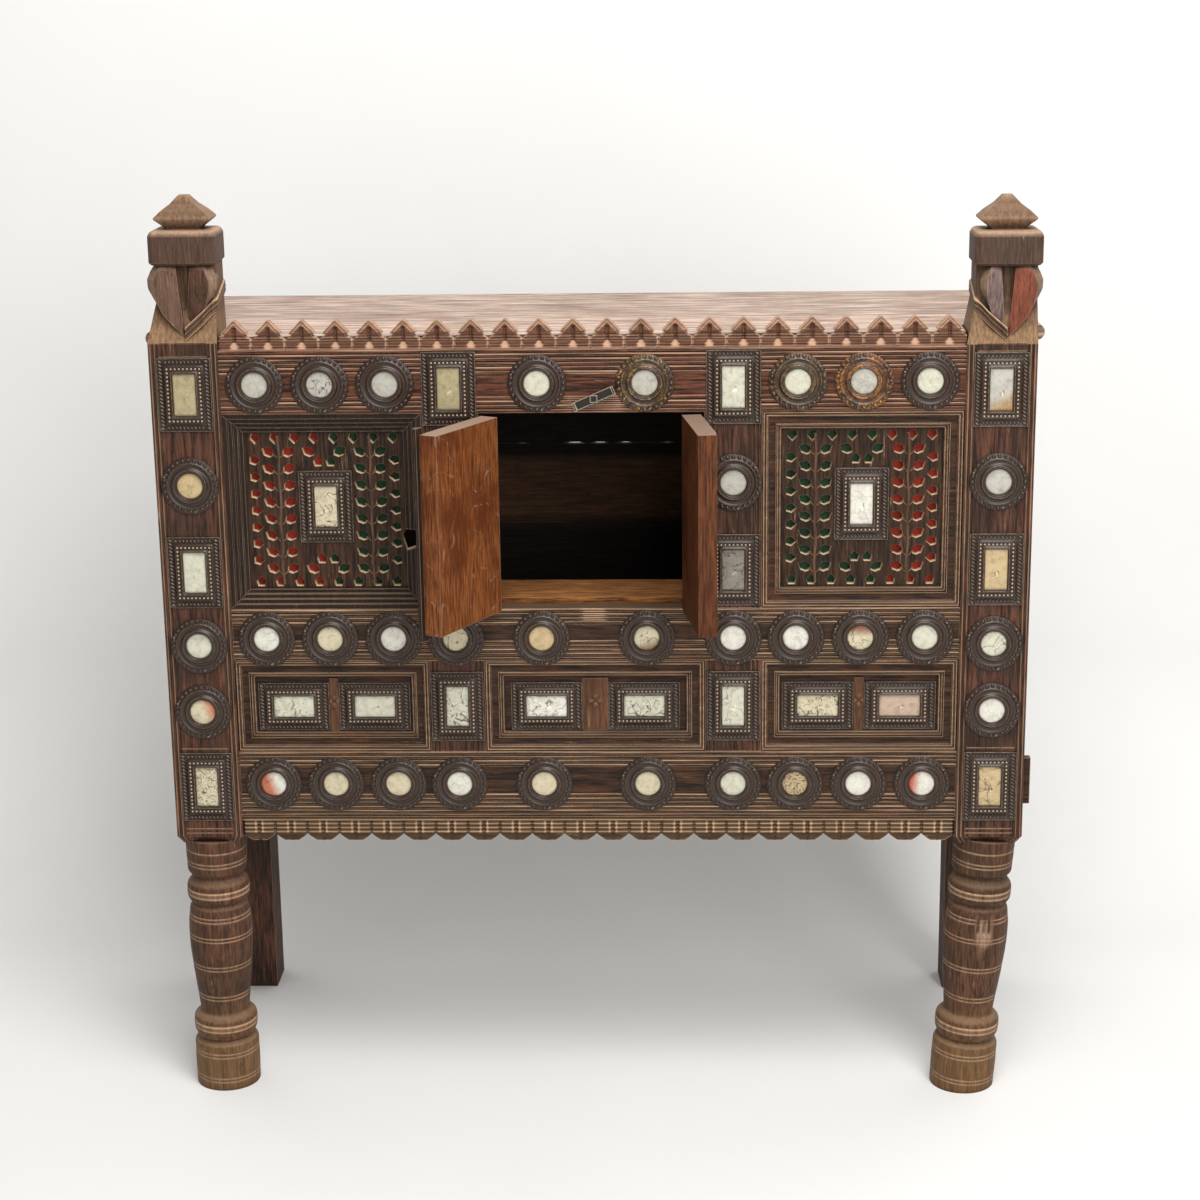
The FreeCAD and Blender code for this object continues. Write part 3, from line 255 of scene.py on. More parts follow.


# %% [markdown]
# ### Old sheesham
# The carcass is sheesham, a dense brown timber, carved, oiled and handled for decades. Grain runs along each
# timber, so the noise is stretched along it. Dark dirt fills the grain, red-brown shows where the oil is
# worn, and pale scuffs lie on edges. Faces that look up are paler, with dust and a painted highlight
# together, and corners and crevices are painted dark as shade. Grain lines are about 3 mm apart.
# The jali was sawn by hand and its cut walls were never oiled, so they stay the pale colour of raw wood. A
# wall is a face that looks along the panel, which its normal tells, so no extra piece is needed.

# %% Wood
GRAIN_MM, GRAIN_RUN = 3.0, 14.0
FINE_MM, PATCH_MM, SCUFF_MM = 1.0, 110.0, 6.5
EDGE_MM, CORNER_SHADE_MM, SCRATCH_MM = 1.7, 9.0, 60.0
# Share of a stain that stays in the dark lines of the grain, and the colour of the painted shade in corners
GRAIN_SHADE = (0.55, 0.55, 0.55, 1.0)
CORNER_SHADE_COLOUR = "#130d0a"


def old_wood(name, dark, middle, pale, grain, red, red_from=0.5, scuff=0.5, top_dust_and_light=0.4, rough=0.6, edges=0.7,
             scratch=0.0, coarse=1.0, raw=None):
    """Worn timber with its grain along axis 0, 1 or 2: layers of colour over brown grain, each with a share.

    Edges and scratch are shares of pale wood, and raw is the colour of sawn walls. Faces that look up get a
    share of pale, dust and a painted highlight together, and a last layer paints shade into corners."""
    material, node, shader, where = new_material(name)
    run = [1.0, 1.0, 1.0]
    run[grain] = 1.0 / GRAIN_RUN
    along = node("Mapping", {"Vector": where, "Scale": run})
    lines, fine, patches, specks = [
        node("TexNoise", {"Vector": vector, "Scale": 1000 / size, "Detail": detail, "Roughness": roughness})
        for vector, size, detail, roughness in (
            (along, coarse * GRAIN_MM, 6.0, 0.65), (along, FINE_MM, 3.0, 0.6),
            (where, PATCH_MM, 4.0, 0.6), (along, SCUFF_MM, 8.0, 0.75))]
    ripple = node("MapRange", (lines, 0.38, 0.62))
    colour, reddish, shaded = [
        node("Mix", {0: ripple, 6: low, 7: high}, **BLEND)
        for low, high in ((dark, middle), (dark, red), (GRAIN_SHADE, "#ffffff"))]
    stain = node("Attribute", out="Color", attribute_name="stain")
    stained = node("Mix", {0: 1.0, 6: shaded, 7: stain}, **BLEND, blend_type="MULTIPLY")
    facing = node("NewGeometry", out="Normal")
    upward = node("SeparateXYZ", (facing,), "Z")
    bare = node("MapRange", (specks, 0.68 - 0.16 * scuff, 0.80 - 0.12 * scuff))
    # Faces that look up turn paler: dust, and a painted highlight from the light above, together
    lying = node("MapRange", (upward, 0.25, 0.95, 0.0, top_dust_and_light))
    rubbed = rubbed_share(node, EDGE_MM, edges, specks, 0.12, 0.5)[1]
    for other in (lying, rubbed):
        bare = node("Math", (bare, other), operation="MAXIMUM")
    layers = [(node("MapRange", (patches, red_from, red_from + 0.14)), reddish),
              (node("Attribute", out="Fac", attribute_name="stain_share"), stained),
              (node("MapRange", (fine, 0.56, 0.75)), dark), (bare, pale)]
    if scratch:
        cut = hairlines(node, where, {"Scale": 1000 / SCRATCH_MM, "Detail": 1.0}, 0.012, 0.004, scratch)
        some = node("MapRange", (specks, 0.5, 0.6))
        layers.append((node("Math", (cut, some), operation="MULTIPLY"), pale))
    # Painted shade: where ambient occlusion finds a corner or crevice, the colour is darkened towards near
    # black
    open_sky = node("AmbientOcclusion", {"Distance": CORNER_SHADE_MM / 1000}, "AO", samples=4)
    layers.append((node("MapRange", (open_sky, 0.8, 0.35, 0.0, 0.85)), CORNER_SHADE_COLOUR))
    if raw:
        forward = node("SeparateXYZ", (node("NewGeometry", out="True Normal"),), "Y")
        forward = node("Math", (forward,), operation="ABSOLUTE")
        layers.append((node("MapRange", (forward, 0.6, 0.3)), raw))
    for share, over in layers:
        colour = node("Mix", {0: share, 6: colour, 7: over}, **BLEND)
    relief = node("Math", (lines, fine), operation="ADD")
    bump = node("Bump", {"Height": relief, "Strength": 0.4, "Distance": 0.0012})
    fill(shader, {"Base Color": colour, "Roughness": rough, "Specular IOR Level": 0.2, "Normal": bump})
    return material


# %% Woods of the cabinet
# Oiled timber of the frame: near black in its grain, pale along rubbed edges
DARK, WARM = ("#1a110b", "#442e1f", "#bf9b7b"), "#5c3823"
level_wood = old_wood("oiled_sheesham_level", *DARK, 0, WARM, scuff=0.35, top_dust_and_light=0.15, edges=1.0)
deep_wood = old_wood("oiled_sheesham_deep", *DARK, 1, WARM, scuff=0.4)
pierced_wood = old_wood("pierced_sheesham", *DARK, 2, WARM, red_from=0.55, scuff=0.45, top_dust_and_light=0.0, edges=0.4,
                        raw="#d6c0a0")
# Redder and browner timbers, and one that lamp smoke has blackened
red_wood = old_wood("oiled_sheesham_red", "#20120b", "#4b2f21", "#c39c80", 0, "#6b3f2c",
                    red_from=0.3, scuff=0.35, top_dust_and_light=0.15)
upright_wood = old_wood("oiled_sheesham_upright", "#231711", "#483225", "#bf9b7b", 2, "#654030",
                        red_from=0.42, scuff=0.35, top_dust_and_light=0.3)
black_wood = old_wood("blackened_sheesham", "#15100c", "#302219", "#b3957b", 2, "#432a1c",
                      red_from=0.55, scuff=0.3, top_dust_and_light=0.3)
# Inner faces of the doors and their sill: bare orange-brown wood with scratches
# The right leaf takes a darker copy of the door wood: painted shade, as its inner face is turned from the
# light
door_wood_painted_shade = old_wood("bare_sheesham_door_painted_shade", "#34190b", "#6d3d1f", "#97806f", 2, "#4c230f",
                            scuff=0.2, top_dust_and_light=0.75, edges=0.3)
door_wood = old_wood("bare_sheesham_door", "#4c2610", "#93562b", "#a8907d", 2, "#6b3315",
                     scuff=0.2, top_dust_and_light=0.75, scratch=0.45, coarse=0.75)
sill_wood = old_wood("bare_sheesham_sill", "#452510", "#a86c35", "#c29a6e", 0, "#804a20",
                     scuff=0.3, top_dust_and_light=0.1)
# Plain planks: dull brown inside, bleached and dusty on top, with grain drawn coarse enough to show
inner_wood, inner_wood_deep = [
    old_wood("bare_plank_" + way, "#24170f", "#5a3d2b", "#8f7560", grain, "#4d3020", scuff=0.2, top_dust_and_light=0.3)
    for way, grain in (("level", 0), ("deep", 1))]
front_top_wood, rear_top_wood = [
    old_wood("dusty_plank_" + place, *colours, 0, red, top_dust_and_light=0.15, rough=0.75, coarse=1.9)
    for place, colours, red in (("front", ("#66493a", "#dcc2b0", "#e6d4c6"), "#c19f8a"),
                                ("rear", ("#5f4638", "#d0b9a8", "#dac8bb"), "#b19686"))]
print("woods:", level_wood.name, upright_wood.name, deep_wood.name, door_wood.name)

# %% [markdown]
# ### Tarnished brass, clouded mirror, cloth and iron
# The mirror frames are thin brass sheet, beaten over a form. Years of polish and dirt have turned them
# almost black, with brass showing only on rubbed crests. The mirror behind has lost most of its silver and
# looks like chalky glass with foxed spots. Red and green cotton shows through the piercing.

# %% Metals
TARNISH_MM, GRIT_MM = 12.0, 2.4


def beaten_metal(name, dark, bright, shown_from, rough, metallic, edges):
    """Old sheet metal: dark tarnish with the bright metal showing through in patches and on its crests.

    A stain shows as flecks, most of all on the crests."""
    material, node, shader, where = new_material(name)
    cloud, grit = [
        node("TexNoise", {"Vector": where, "Scale": 1000 / size, "Detail": detail, "Roughness": roughness})
        for size, detail, roughness in ((TARNISH_MM, 5.0, 0.7), (GRIT_MM, 3.0, 0.6))]
    wear, rubbed = rubbed_share(node, 1.2 * EDGE_MM, edges, grit, 0.15, 0.6)
    shown = node("MapRange", (cloud, shown_from, shown_from + 0.2, 0.0, 0.6))
    shown = node("Math", (shown, rubbed), operation="MAXIMUM")
    colour = node("Mix", {0: shown, 6: dark, 7: bright}, **BLEND)
    share = node("Attribute", out="Fac", attribute_name="stain_share")
    flecks = node("Math", (cloud, grit), operation="ADD")
    flecks = node("Math", (flecks, share), operation="MULTIPLY")
    flecks = node("MapRange", (flecks, 0.76, 1.0))
    crest = node("Math", (wear, 1.4, 0.3), operation="MULTIPLY_ADD")
    gilt = node("Math", (flecks, crest), operation="MULTIPLY", use_clamp=True)
    stain = node("Attribute", out="Color", attribute_name="stain")
    colour = node("Mix", {0: gilt, 6: colour, 7: stain}, **BLEND)
    bump = node("Bump", {"Height": grit, "Strength": 0.25, "Distance": 0.0005})
    fill(shader, {"Base Color": colour, "Metallic": metallic, "Roughness": rough, "Normal": bump})
    return material


# Brown-black brass with a dull shine, iron that is black in its hollows, iron rubbed bright by fingers
dark_brass = beaten_metal("tarnished_brass", "#34241a", "#b39d84", shown_from=0.68, rough=0.36,
                          metallic=0.15, edges=0.0)
black_iron = beaten_metal("forged_iron", "#2a2320", "#b3a79b", shown_from=0.75, rough=0.5,
                          metallic=0.5, edges=1.2)
rubbed_iron = beaten_metal("rubbed_iron", "#2c241e", "#d3c7ae", shown_from=0.6, rough=0.4,
                           metallic=0.4, edges=2.6)
print("metals:", dark_brass.name, black_iron.name, rubbed_iron.name)

# %% Mirror and cloth
CLOUD_MM, SPECK_MM, CRACK_MM = 9.0, 3.0, 20.0
FADE_MM, WEAVE_MM = 28.0, 6.3


def clouded_mirror():
    """Old mirror glass: each pane's own tint under clouds, with specks and cracks that grow with its age."""
    material, node, shader, where = new_material("clouded_mirror")
    tint = node("Attribute", out="Color", attribute_name="tint")
    age = node("Attribute", out="Fac", attribute_name="age")
    cloud, specks = [
        node("TexNoise", {"Vector": where, "Scale": 1000 / size, "Detail": detail, "Roughness": roughness})
        for size, detail, roughness in ((CLOUD_MM, 5.0, 0.65), (SPECK_MM, 4.0, 0.7))]
    shade = node("Mix", {0: 1.0, 6: tint, 7: "#b5b2a6"}, **BLEND, blend_type="MULTIPLY")
    foxed = node("Math", (specks, age), operation="MULTIPLY")
    jagged = {"Scale": 1000 / CRACK_MM, "Detail": 2.0, "Distortion": 0.6}
    crack = hairlines(node, where, jagged, 0.02, 0.006, 1.0)
    worse = node("MapRange", (age, 0.6, 0.7, 0.05, 0.9))
    for share, over in ((node("MapRange", (cloud, 0.45, 0.8, 0.0, 0.7)), shade),
                        (node("MapRange", (foxed, 0.39, 0.52)), "#33291f"),
                        (node("Math", (crack, worse), operation="MULTIPLY"), "#4a3d2c")):
        tint = node("Mix", {0: share, 6: tint, 7: over}, **BLEND)
    fill(shader, {"Base Color": tint, "Roughness": 0.3})
    return material


def faded_cloth(name, code, shade):
    """Dyed cotton behind the piercing, faded in patches, its weave drawn at about 2 mm so that it shows."""
    material, node, shader, where = new_material(name)
    fade = node("TexNoise", {"Vector": where, "Scale": 1000 / FADE_MM, "Detail": 4.0})
    weave = node("TexWave", {"Vector": where, "Scale": 1000 / WEAVE_MM, "Distortion": 1.0}, 1)
    faded = node("MapRange", (fade, 0.3, 0.7))
    colour = node("Mix", {0: faded, 6: code, 7: shade}, **BLEND)
    bump = node("Bump", {"Height": weave, "Strength": 0.3, "Distance": 0.0005})
    fill(shader, {"Base Color": colour, "Roughness": 0.9, "Normal": bump})
    return material


mirror = clouded_mirror()
red_cloth = faded_cloth("faded_red_cotton", "#a8382d", "#7d2219")
green_cloth = faded_cloth("faded_green_cotton", "#26503b", "#193a2a")
print("mirror and cloth:", mirror.name, red_cloth.name, green_cloth.name)

# %% Give the solids their finishes
FINISHES = {
    red_wood: "top_rail crest_strip",
    level_wood: "middle_rail bottom_rail back_top_rail back_bottom_rail "
                "apron_strip lower_moulding lower_panel",
    upright_wood: "front_post rear_post door_stile lower_muntin",
    deep_wood: "side_top_rail side_bottom_rail",
    black_wood: "jali_moulding meeting_batten",
    pierced_wood: "jali_panel",
    door_wood: "door_leaf", door_wood_painted_shade: "door_leaf_right", sill_wood: "door_sill",
    inner_wood: "back_boards floor_boards", inner_wood_deep: "side_boards floor_bearer",
    front_top_wood: "top_board_front", rear_top_wood: "top_board_rear",
    red_cloth: "backing_sheet_red", green_cloth: "backing_sheet_green",
    dark_brass: "round_frames upright_frames panel_frames",
    mirror: "round_panes upright_panes panel_panes",
    black_iron: "hinge", rubbed_iron: "turn_button",
}
finish_of = {start: finish for finish, starts in FINISHES.items() for start in starts.split()}

for name, node in nodes.items():
    start = max((start for start in finish_of if name.startswith(start)), key=len)
    node.data.materials.clear()
    node.data.materials.append(finish_of[start])
print("finishes on", len(nodes), "solids, each by the longest start of its name")

# %% [markdown]
# ## Beaten mirror plates
# Each mirror sits in a thin brass plate with raised rings, a rope edge and rows of beads. The plate is a
# closed profile carried round a circle or an oblong. Rope strands and beads are half ellipsoids, turned and
# set along a line: there are thousands, so each has only a few faces.

# %% Rings and beads
BEAD_TURNS, BEAD_LEVELS = 6, np.radians((0.0, 40.0, 72.0))
# Wear at the three levels of a lump, a rope strand, a bead and a nail
LUMP_WEAR, ROPE_WEAR, BEAD_WEAR, NAIL_WEAR = [
    np.repeat(wear, BEAD_TURNS)
    for wear in ((0.0, 0.1, 0.35), (0.0, 0.15, 0.55), (0.3, 1.2, 1.6), (0.0, 0.3, 0.6))]


def circle(turns):
    """Unit circle from X towards Z."""
    angle = np.linspace(0.0, 2.0 * math.pi, turns, endpoint=False)
    return np.column_stack([np.cos(angle), np.sin(angle)])


def oblong(half_w, half_h, steps):
    """Rectangle walked from its lower right corner, up first, with steps points on each side."""
    t = np.linspace(-1.0, 1.0, steps, endpoint=False)
    one = np.ones(steps)
    walk = np.concatenate([np.column_stack([one, t]), np.column_stack([-t, one]),
                           np.column_stack([-one, -t]), np.column_stack([t, -one])])
    return walk * (half_w, half_h)


def standing(flat, heights):
    """Rings of (x, z) with a height each, as points (x, -height, z): height stands out to the front."""
    return spread(flat[..., 0], -heights[:, None], flat[..., 1])


def beads(centres, turns, long, short, tall, wear):
    """Half ellipsoids (long cos t cos l, short sin t cos l), tall sin l, each turned at its own centre."""
    ring, level = circle(BEAD_TURNS), BEAD_LEVELS[:, None]
    u, v = long * np.cos(level) * ring[:, 0], short * np.cos(level) * ring[:, 1]
    turns = np.broadcast_to(turns, len(centres))[:, None, None]
    c, s = np.cos(turns), np.sin(turns)
    x, y, z = centres.T[..., None, None]
    points = spread(x + c * u - s * v, y - tall * np.sin(level), z + s * u + c * v)
    faces = copied(loft(points[0])[1], len(centres), level.size * BEAD_TURNS)
    return points.reshape(-1, 3), faces, np.tile(wear, len(centres))


# %% Plate shapes
ROUND_TURNS, OBLONG_STEPS = 48, 6
# Lumps, ropes and beads: their place or pitch, their lean, and their length, breadth and height
ROUND_LUMPS, LUMP_R, LUMP_H, LUMP_LEAN, LUMP = 28, 32.9, 1.3, 0.6, (3.6, 2.7, 2.1)
ROPE_INSET, ROPE_PITCH, ROPE_H = 5.0, 4.7, 1.4
SIDE_ROPE, END_ROPE = (-0.65, 5.0, 1.7, 1.8), (-0.9, 3.6, 1.5, 1.8)
BEAD_INSET, BEAD_PITCH, BEAD_H, BEAD = 13.6, 5.0, 2.6, (1.6, 1.6, 1.8)
# Distance from the centre, height over the wood, and how far each point is rubbed bright
ROUND_PROFILE = np.array([
    (36.5, 0.0, 0.0), (36.4, 1.2, 0.2), (35.8, 1.6, 0.2), (30.6, 1.8, 0.0), (29.8, 2.6, 0.3),
    (29.0, 3.2, 0.4), (28.2, 2.8, 0.2), (27.0, 2.0, 0.0), (24.6, 1.8, 0.0), (22.8, 2.6, 0.0),
    (21.8, 4.4, 0.2), (21.0, 5.2, 0.45), (20.2, 5.2, 0.3), (19.6, 4.4, 0.0), (18.9, 4.6, 0.1),
    (18.2, 5.0, 0.3), (17.4, 4.4, 0.0), (16.4, 2.4, 0.0), (16.1, 1.0, 0.0), (16.0, 0.0, 0.0)])

# The same for oblong plates, with the distance inward from the edge, for a rim of RIM all round
RIM = 20.0
OBLONG_PROFILE = np.array([
    (0.0, 0.0, 0.1), (0.1, 1.4, 0.4), (0.7, 1.8, 0.6), (1.3, 1.3, 0.0), (9.4, 1.3, 0.0),
    (10.0, 2.2, 0.2), (10.7, 3.0, 0.35), (11.4, 2.6, 0.0), (16.2, 2.6, 0.0), (17.0, 3.6, 0.2),
    (18.0, 4.4, 0.5), (19.2, 4.0, 0.2), (19.9, 2.4, 0.0), (RIM, 0.0, 0.0)])


def round_plate():
    """Round plate: the closed profile carried round a circle, and a rope of slanted lumps at its edge."""
    r, h, wear = ROUND_PROFILE.T
    body = loft(standing(r[:, None, None] * circle(ROUND_TURNS), h), closed=True)
    spin = np.linspace(0.0, 2.0 * math.pi, ROUND_LUMPS, endpoint=False)
    centres = spread(LUMP_R * np.cos(spin), -LUMP_H, LUMP_R * np.sin(spin))
    lumps = beads(centres, spin + LUMP_LEAN, *LUMP, LUMP_WEAR)
    return joined([(*body, np.repeat(wear, ROUND_TURNS)), lumps])


def rope_line(start, end, strand):
    """Slanted strands from one (x, z) to another, a pitch apart, leaning against the line."""
    start, end = np.array(start), np.array(end)
    count = max(2, int(round(np.hypot(*(end - start)) / ROPE_PITCH)))
    t = (np.arange(count) + 0.5) / count
    x, z = (start + t[:, None] * (end - start)).T
    return beads(spread(x, -ROPE_H, z), *strand, ROPE_WEAR)


def oblong_plate(width, height, rim_h):
    """Oblong plate: the profile carried round a rectangle, ropes along its edges and a row of beads."""
    d, h, wear = OBLONG_PROFILE.T
    halves = [(width / 2 - e, height / 2 - e * rim_h / RIM) for e in (*d, ROPE_INSET, BEAD_INSET)]
    rings = np.stack([oblong(*half, OBLONG_STEPS) for half in halves[:-2]])
    body = (*loft(standing(rings, h), closed=True), np.repeat(wear, 4 * OBLONG_STEPS))
    side, top = halves[-2]
    ropes = [rope_line((x, -top - 3), (x, top + 3), SIDE_ROPE) for x in (-side, side)]
    ropes += [rope_line((-side + 5, z), (side - 5, z), END_ROPE) for z in (-top, top)]
    ring = oblong(*halves[-1], 1)
    across, up = [int(round(2 * half / BEAD_PITCH)) for half in halves[-1]]
    t = np.concatenate([np.arange(n) / n + k for k, n in enumerate((up, across, up, across))])
    corner = t.astype(int)
    x, z = (ring[corner] + (t - corner)[:, None] * (ring[(corner + 1) % 4] - ring[corner])).T
    pearls = beads(spread(x, -BEAD_H, z), 0.0, *BEAD, BEAD_WEAR)
    return joined([body, *ropes, pearls])


# %% [markdown]
# Every plate has its place and its glass. The glass is named by the few looks that the old mirrors have,
# with its age in hundredths where specks and cracks have spread further than on most. Some panes are stained
# from one side. Rows are written from left to right, and columns downwards.

# %% Places of the plates and the look of each glass
POST_X, STILE_X, BAY_X = 506.5, 177.0, 338.0
POST_Y, RAIL_Y, PANEL_Y = 0.0, 3.0, 17.0
BAY_STEP, DOOR_ROUND_X = 81.5, 67.0
TOP_Z, MIDDLE_Z, BOTTOM_Z = 957.0, 628.5, 433.0
JALI_Z, LYING_Z = 799.0, 534.0
POST_ROUNDS = (830.0, 620.5, 532.0)
POST_PLATES = (946.0, 717.5, 430.0)
STILE_PLATES = (951.0, 717.5, 538.0)
LYING_X = (-390.5, -285.5, -63.0, 63.0, 285.5, 390.5)
GLASS = {"chalk": "#d9d5c8", "milky": "#cbc8b4", "grey": "#b5b1a5", "khaki": "#a99c78", "cream": "#ccc0a2",
         "tan": "#c0a87f", "beige": "#b8a08a", "dark": "#857f72"}
COMMON_AGE = 62
BAY_ROUNDS = (-BAY_X - BAY_STEP, -BAY_X, -BAY_X + BAY_STEP)
FAR_ROUNDS = tuple(-x for x in reversed(BAY_ROUNDS))
TOP_ROW = (*BAY_ROUNDS, -DOOR_ROUND_X, DOOR_ROUND_X, *FAR_ROUNDS)
FULL_ROW = (*BAY_ROUNDS, -STILE_X, -DOOR_ROUND_X, DOOR_ROUND_X, STILE_X, *FAR_ROUNDS)


def set_out(x, y, z, looks):
    """Places (x, y, z, look, age) along a row, where x is a list, or down a column, where z is one."""
    words = [word.partition(":") for word in looks.split()]
    return [(at_x, y, at_z, look, float(age or COMMON_AGE) / 100.0)
            for (at_x, at_z), (look, _, age) in zip(np.broadcast(x, z), words)]


rounds = [
    *set_out(TOP_ROW, RAIL_Y, TOP_Z, "grey grey:72 grey milky grey milky grey milky"),
    *set_out(FULL_ROW, RAIL_Y, MIDDLE_Z,
             "chalk cream chalk cream:69 tan cream:67 chalk chalk cream:68 milky"),
    *set_out(FULL_ROW, RAIL_Y, BOTTOM_Z,
             "chalk:67 cream cream chalk cream cream milky tan:84 chalk chalk"),
    *set_out(-POST_X, POST_Y, POST_ROUNDS, "tan milky cream"),
    *set_out(POST_X, POST_Y, POST_ROUNDS, "grey milky:68 chalk"),
    *set_out((-STILE_X, STILE_X), RAIL_Y, POST_ROUNDS[0], "milky grey")]
uprights = [
    *set_out(-POST_X, POST_Y, POST_PLATES, "khaki milky cream:78"),
    *set_out(POST_X, POST_Y, POST_PLATES, "grey tan tan:68"),
    *set_out(-STILE_X, RAIL_Y, STILE_PLATES, "khaki milky milky:71"),
    *set_out(STILE_X, RAIL_Y, STILE_PLATES, "milky dark:70 milky:66"),
    *set_out((-BAY_X, BAY_X), PANEL_Y, JALI_Z, "cream:70 chalk")]
lying = set_out(LYING_X, PANEL_Y, LYING_Z, "milky:68 milky chalk:68 milky:70 cream:74 beige")
print("plates:", len(rounds), "round,", len(uprights), "upright,", len(lying), "lying")

# %% Stains and gilding
# Stains: (x, z) of the pane, the side they come from as (x, z), their reach and their colour
STAINS = {
    (BAY_X, MIDDLE_Z): (0.0, 1.0, 0.4, "#8a5238"),
    (DOOR_ROUND_X, MIDDLE_Z): (0.3, -0.9, 0.4, "#8a6a4c"),
    (BAY_ROUNDS[0], BOTTOM_Z): (-0.8, -0.3, 0.0, "#b9694a"),
    (FAR_ROUNDS[2], BOTTOM_Z): (-1.0, 0.1, 0.4, "#b8553a"),
    (-POST_X, POST_ROUNDS[2]): (0.9, 0.3, 0.4, "#c07a50"),
    (POST_X, POST_PLATES[0]): (0.4, -0.9, 0.5, "#a98350")}
# Colour of the gilding that is left on a plate, and its share
UNGILDED = ("#000000", 0.0)
GILDED = {(DOOR_ROUND_X, TOP_Z): ("#b08a48", 0.78), (BAY_X, TOP_Z): ("#c27e3a", 0.83),
          (FAR_ROUNDS[0], TOP_Z): ("#8f7440", 0.8)}
print(len(STAINS), "stained panes,", len(GILDED), "plates with gilding")

# %% Make the plates
# Width, height and height of the rim
UPRIGHT, LYING = (68.0, 93.0, RIM), (92.0, 64.0, 18.0)


def lay_plates(name, takes, plate, places):
    """Copies of one plate at all its places, with gilding where a place has it."""
    gilding = [paint(*GILDED.get((x, z), UNGILDED)) for x, _, z, _, _ in places]
    stain = np.repeat(gilding, len(plate[0]), axis=0)
    shape = (*repeated(plate, places), stain)
    make_piece(name, shape, dark_brass, slot="aged_brass", smooth=True, takes=takes)


lay_plates("beaten_round_plates", "round_frames", round_plate(), rounds)
lay_plates("beaten_upright_plates", "upright_frames", oblong_plate(*UPRIGHT), uprights)
lay_plates("beaten_panel_plates", "panel_frames", oblong_plate(*LYING), lying)

# %% [markdown]
# The panes are slightly domed sheets. Their tint is worked out at each point: the pane's own look, changed
# towards the stain on the side that the stain comes from.

# %% Panes
PANE_SCALES = np.array((1.0, 1.0, 0.85, 0.6, 0.35, 0.1))
PANE_HEIGHTS = np.array((0.1, 1.0, 1.4, 1.7, 1.9, 2.0))
PANE_R, PANE_TURNS, PANE_SHORT, PANE_LONG, PANE_LYING = 16.9, 32, 15.0, 27.5, 27.0


def lay_panes(name, takes, outline, places):
    """Domed panes: one outline shrunk towards its middle while its height grows."""
    points, faces = loft(standing(PANE_SCALES[:, None, None] * outline, PANE_HEIGHTS))
    reach = np.abs(points).max()
    tints, ages = [], []
    for x, _, z, look, age in places:
        u, v, start, code = STAINS.get((x, z), (0.0, 0.0, 1.0, GLASS[look]))
        share = np.clip(1.6 * ((points @ (u, 0.0, v)) / reach - start) + 0.5, 0.0, 1.0)[:, None]
        tints.append((1.0 - share) * linear(GLASS[look]) + share * linear(code))
        ages.append(np.full(len(points), age))
    make_piece(name, repeated((points, faces), places), mirror, slot="old_mirror", smooth=True, takes=takes,
               tint=np.concatenate(tints), age=np.concatenate(ages))


lay_panes("clouded_round_panes", "round_panes", PANE_R * circle(PANE_TURNS), rounds)
lay_panes("clouded_upright_panes", "upright_panes", oblong(PANE_SHORT, PANE_LONG, OBLONG_STEPS), uprights)
lay_panes("clouded_panel_panes", "panel_panes", oblong(PANE_LYING, PANE_SHORT, OBLONG_STEPS), lying)

# %% [markdown]
# ## Turned legs, posts and carved heads
# Each front post is one timber. The leg was turned on a lathe, so it is a profile carried round, with pairs
# of incised lines that stay pale, and the right one has an old break. The square shaft is one outline carried
# up. The head was cut with a chisel: a shoulder, two bulging petals, a ribbon, a block and a flared cap.

# %% Turned leg
LEG_TOP, LEG_RINGS, LEG_TURNS = 352.0, 1.25, 96
LEG_PIVOT_Y, LEG_PIVOT_Z = 36.0, 350.0
# Height and radius
LEG_OUTLINE = np.array([
    (-6, 41.5), (2, 42.2), (34, 42.8), (60, 42.4), (64, 41.0), (66, 36.0), (69, 35.4), (71, 38.6),
    (75, 39.4), (77, 41.0), (84, 42.2), (92, 42.2), (98, 41.0), (101, 38.4), (104, 34.0), (108, 32.4),
    (120, 33.6), (165, 38.6), (195, 41.2), (215, 42.0), (236, 41.3), (250, 39.3), (256, 38.0), (259, 35.2),
    (262, 35.0), (265, 39.0), (270, 41.0), (278, 41.5), (284, 41.0), (289, 39.5), (293, 36.0), (298, 33.3),
    (301, 33.0), (303, 37.0), (306, 39.0), (320, 39.6), (LEG_TOP, 40.2)])
LEG_LINES = (12, 17, 47, 52, 84, 91, 127, 132, 171, 176, 213, 218, 240, 245, 274, 281, 316, 321, 336)
LINE_HALF, LINE_DEEP = 1.1, 0.9
LEG_CRESTS, LEG_CREST_HALF = (88.0, 277.0), 7.0
LEG_GOLD = (60.0, 70.0, 110.0, 130.0), (0.75, 0.45, 0.4, 0.15)
BREAK_R, BREAK_X, BREAK_Z, BREAK_HALF_W, BREAK_HALF_H = 42.0, 6.0, 230.0, 12.0, 20.0
CRACKS, CRACK_HALF, CRACK_DEEP = np.array((-2.5, 6.5, 14.0)), 1.9, 3.0


def mixed(share, low, high):
    """One stain changed to another by a share at each point."""
    return (1.0 - share)[..., None] * low + share[..., None] * high


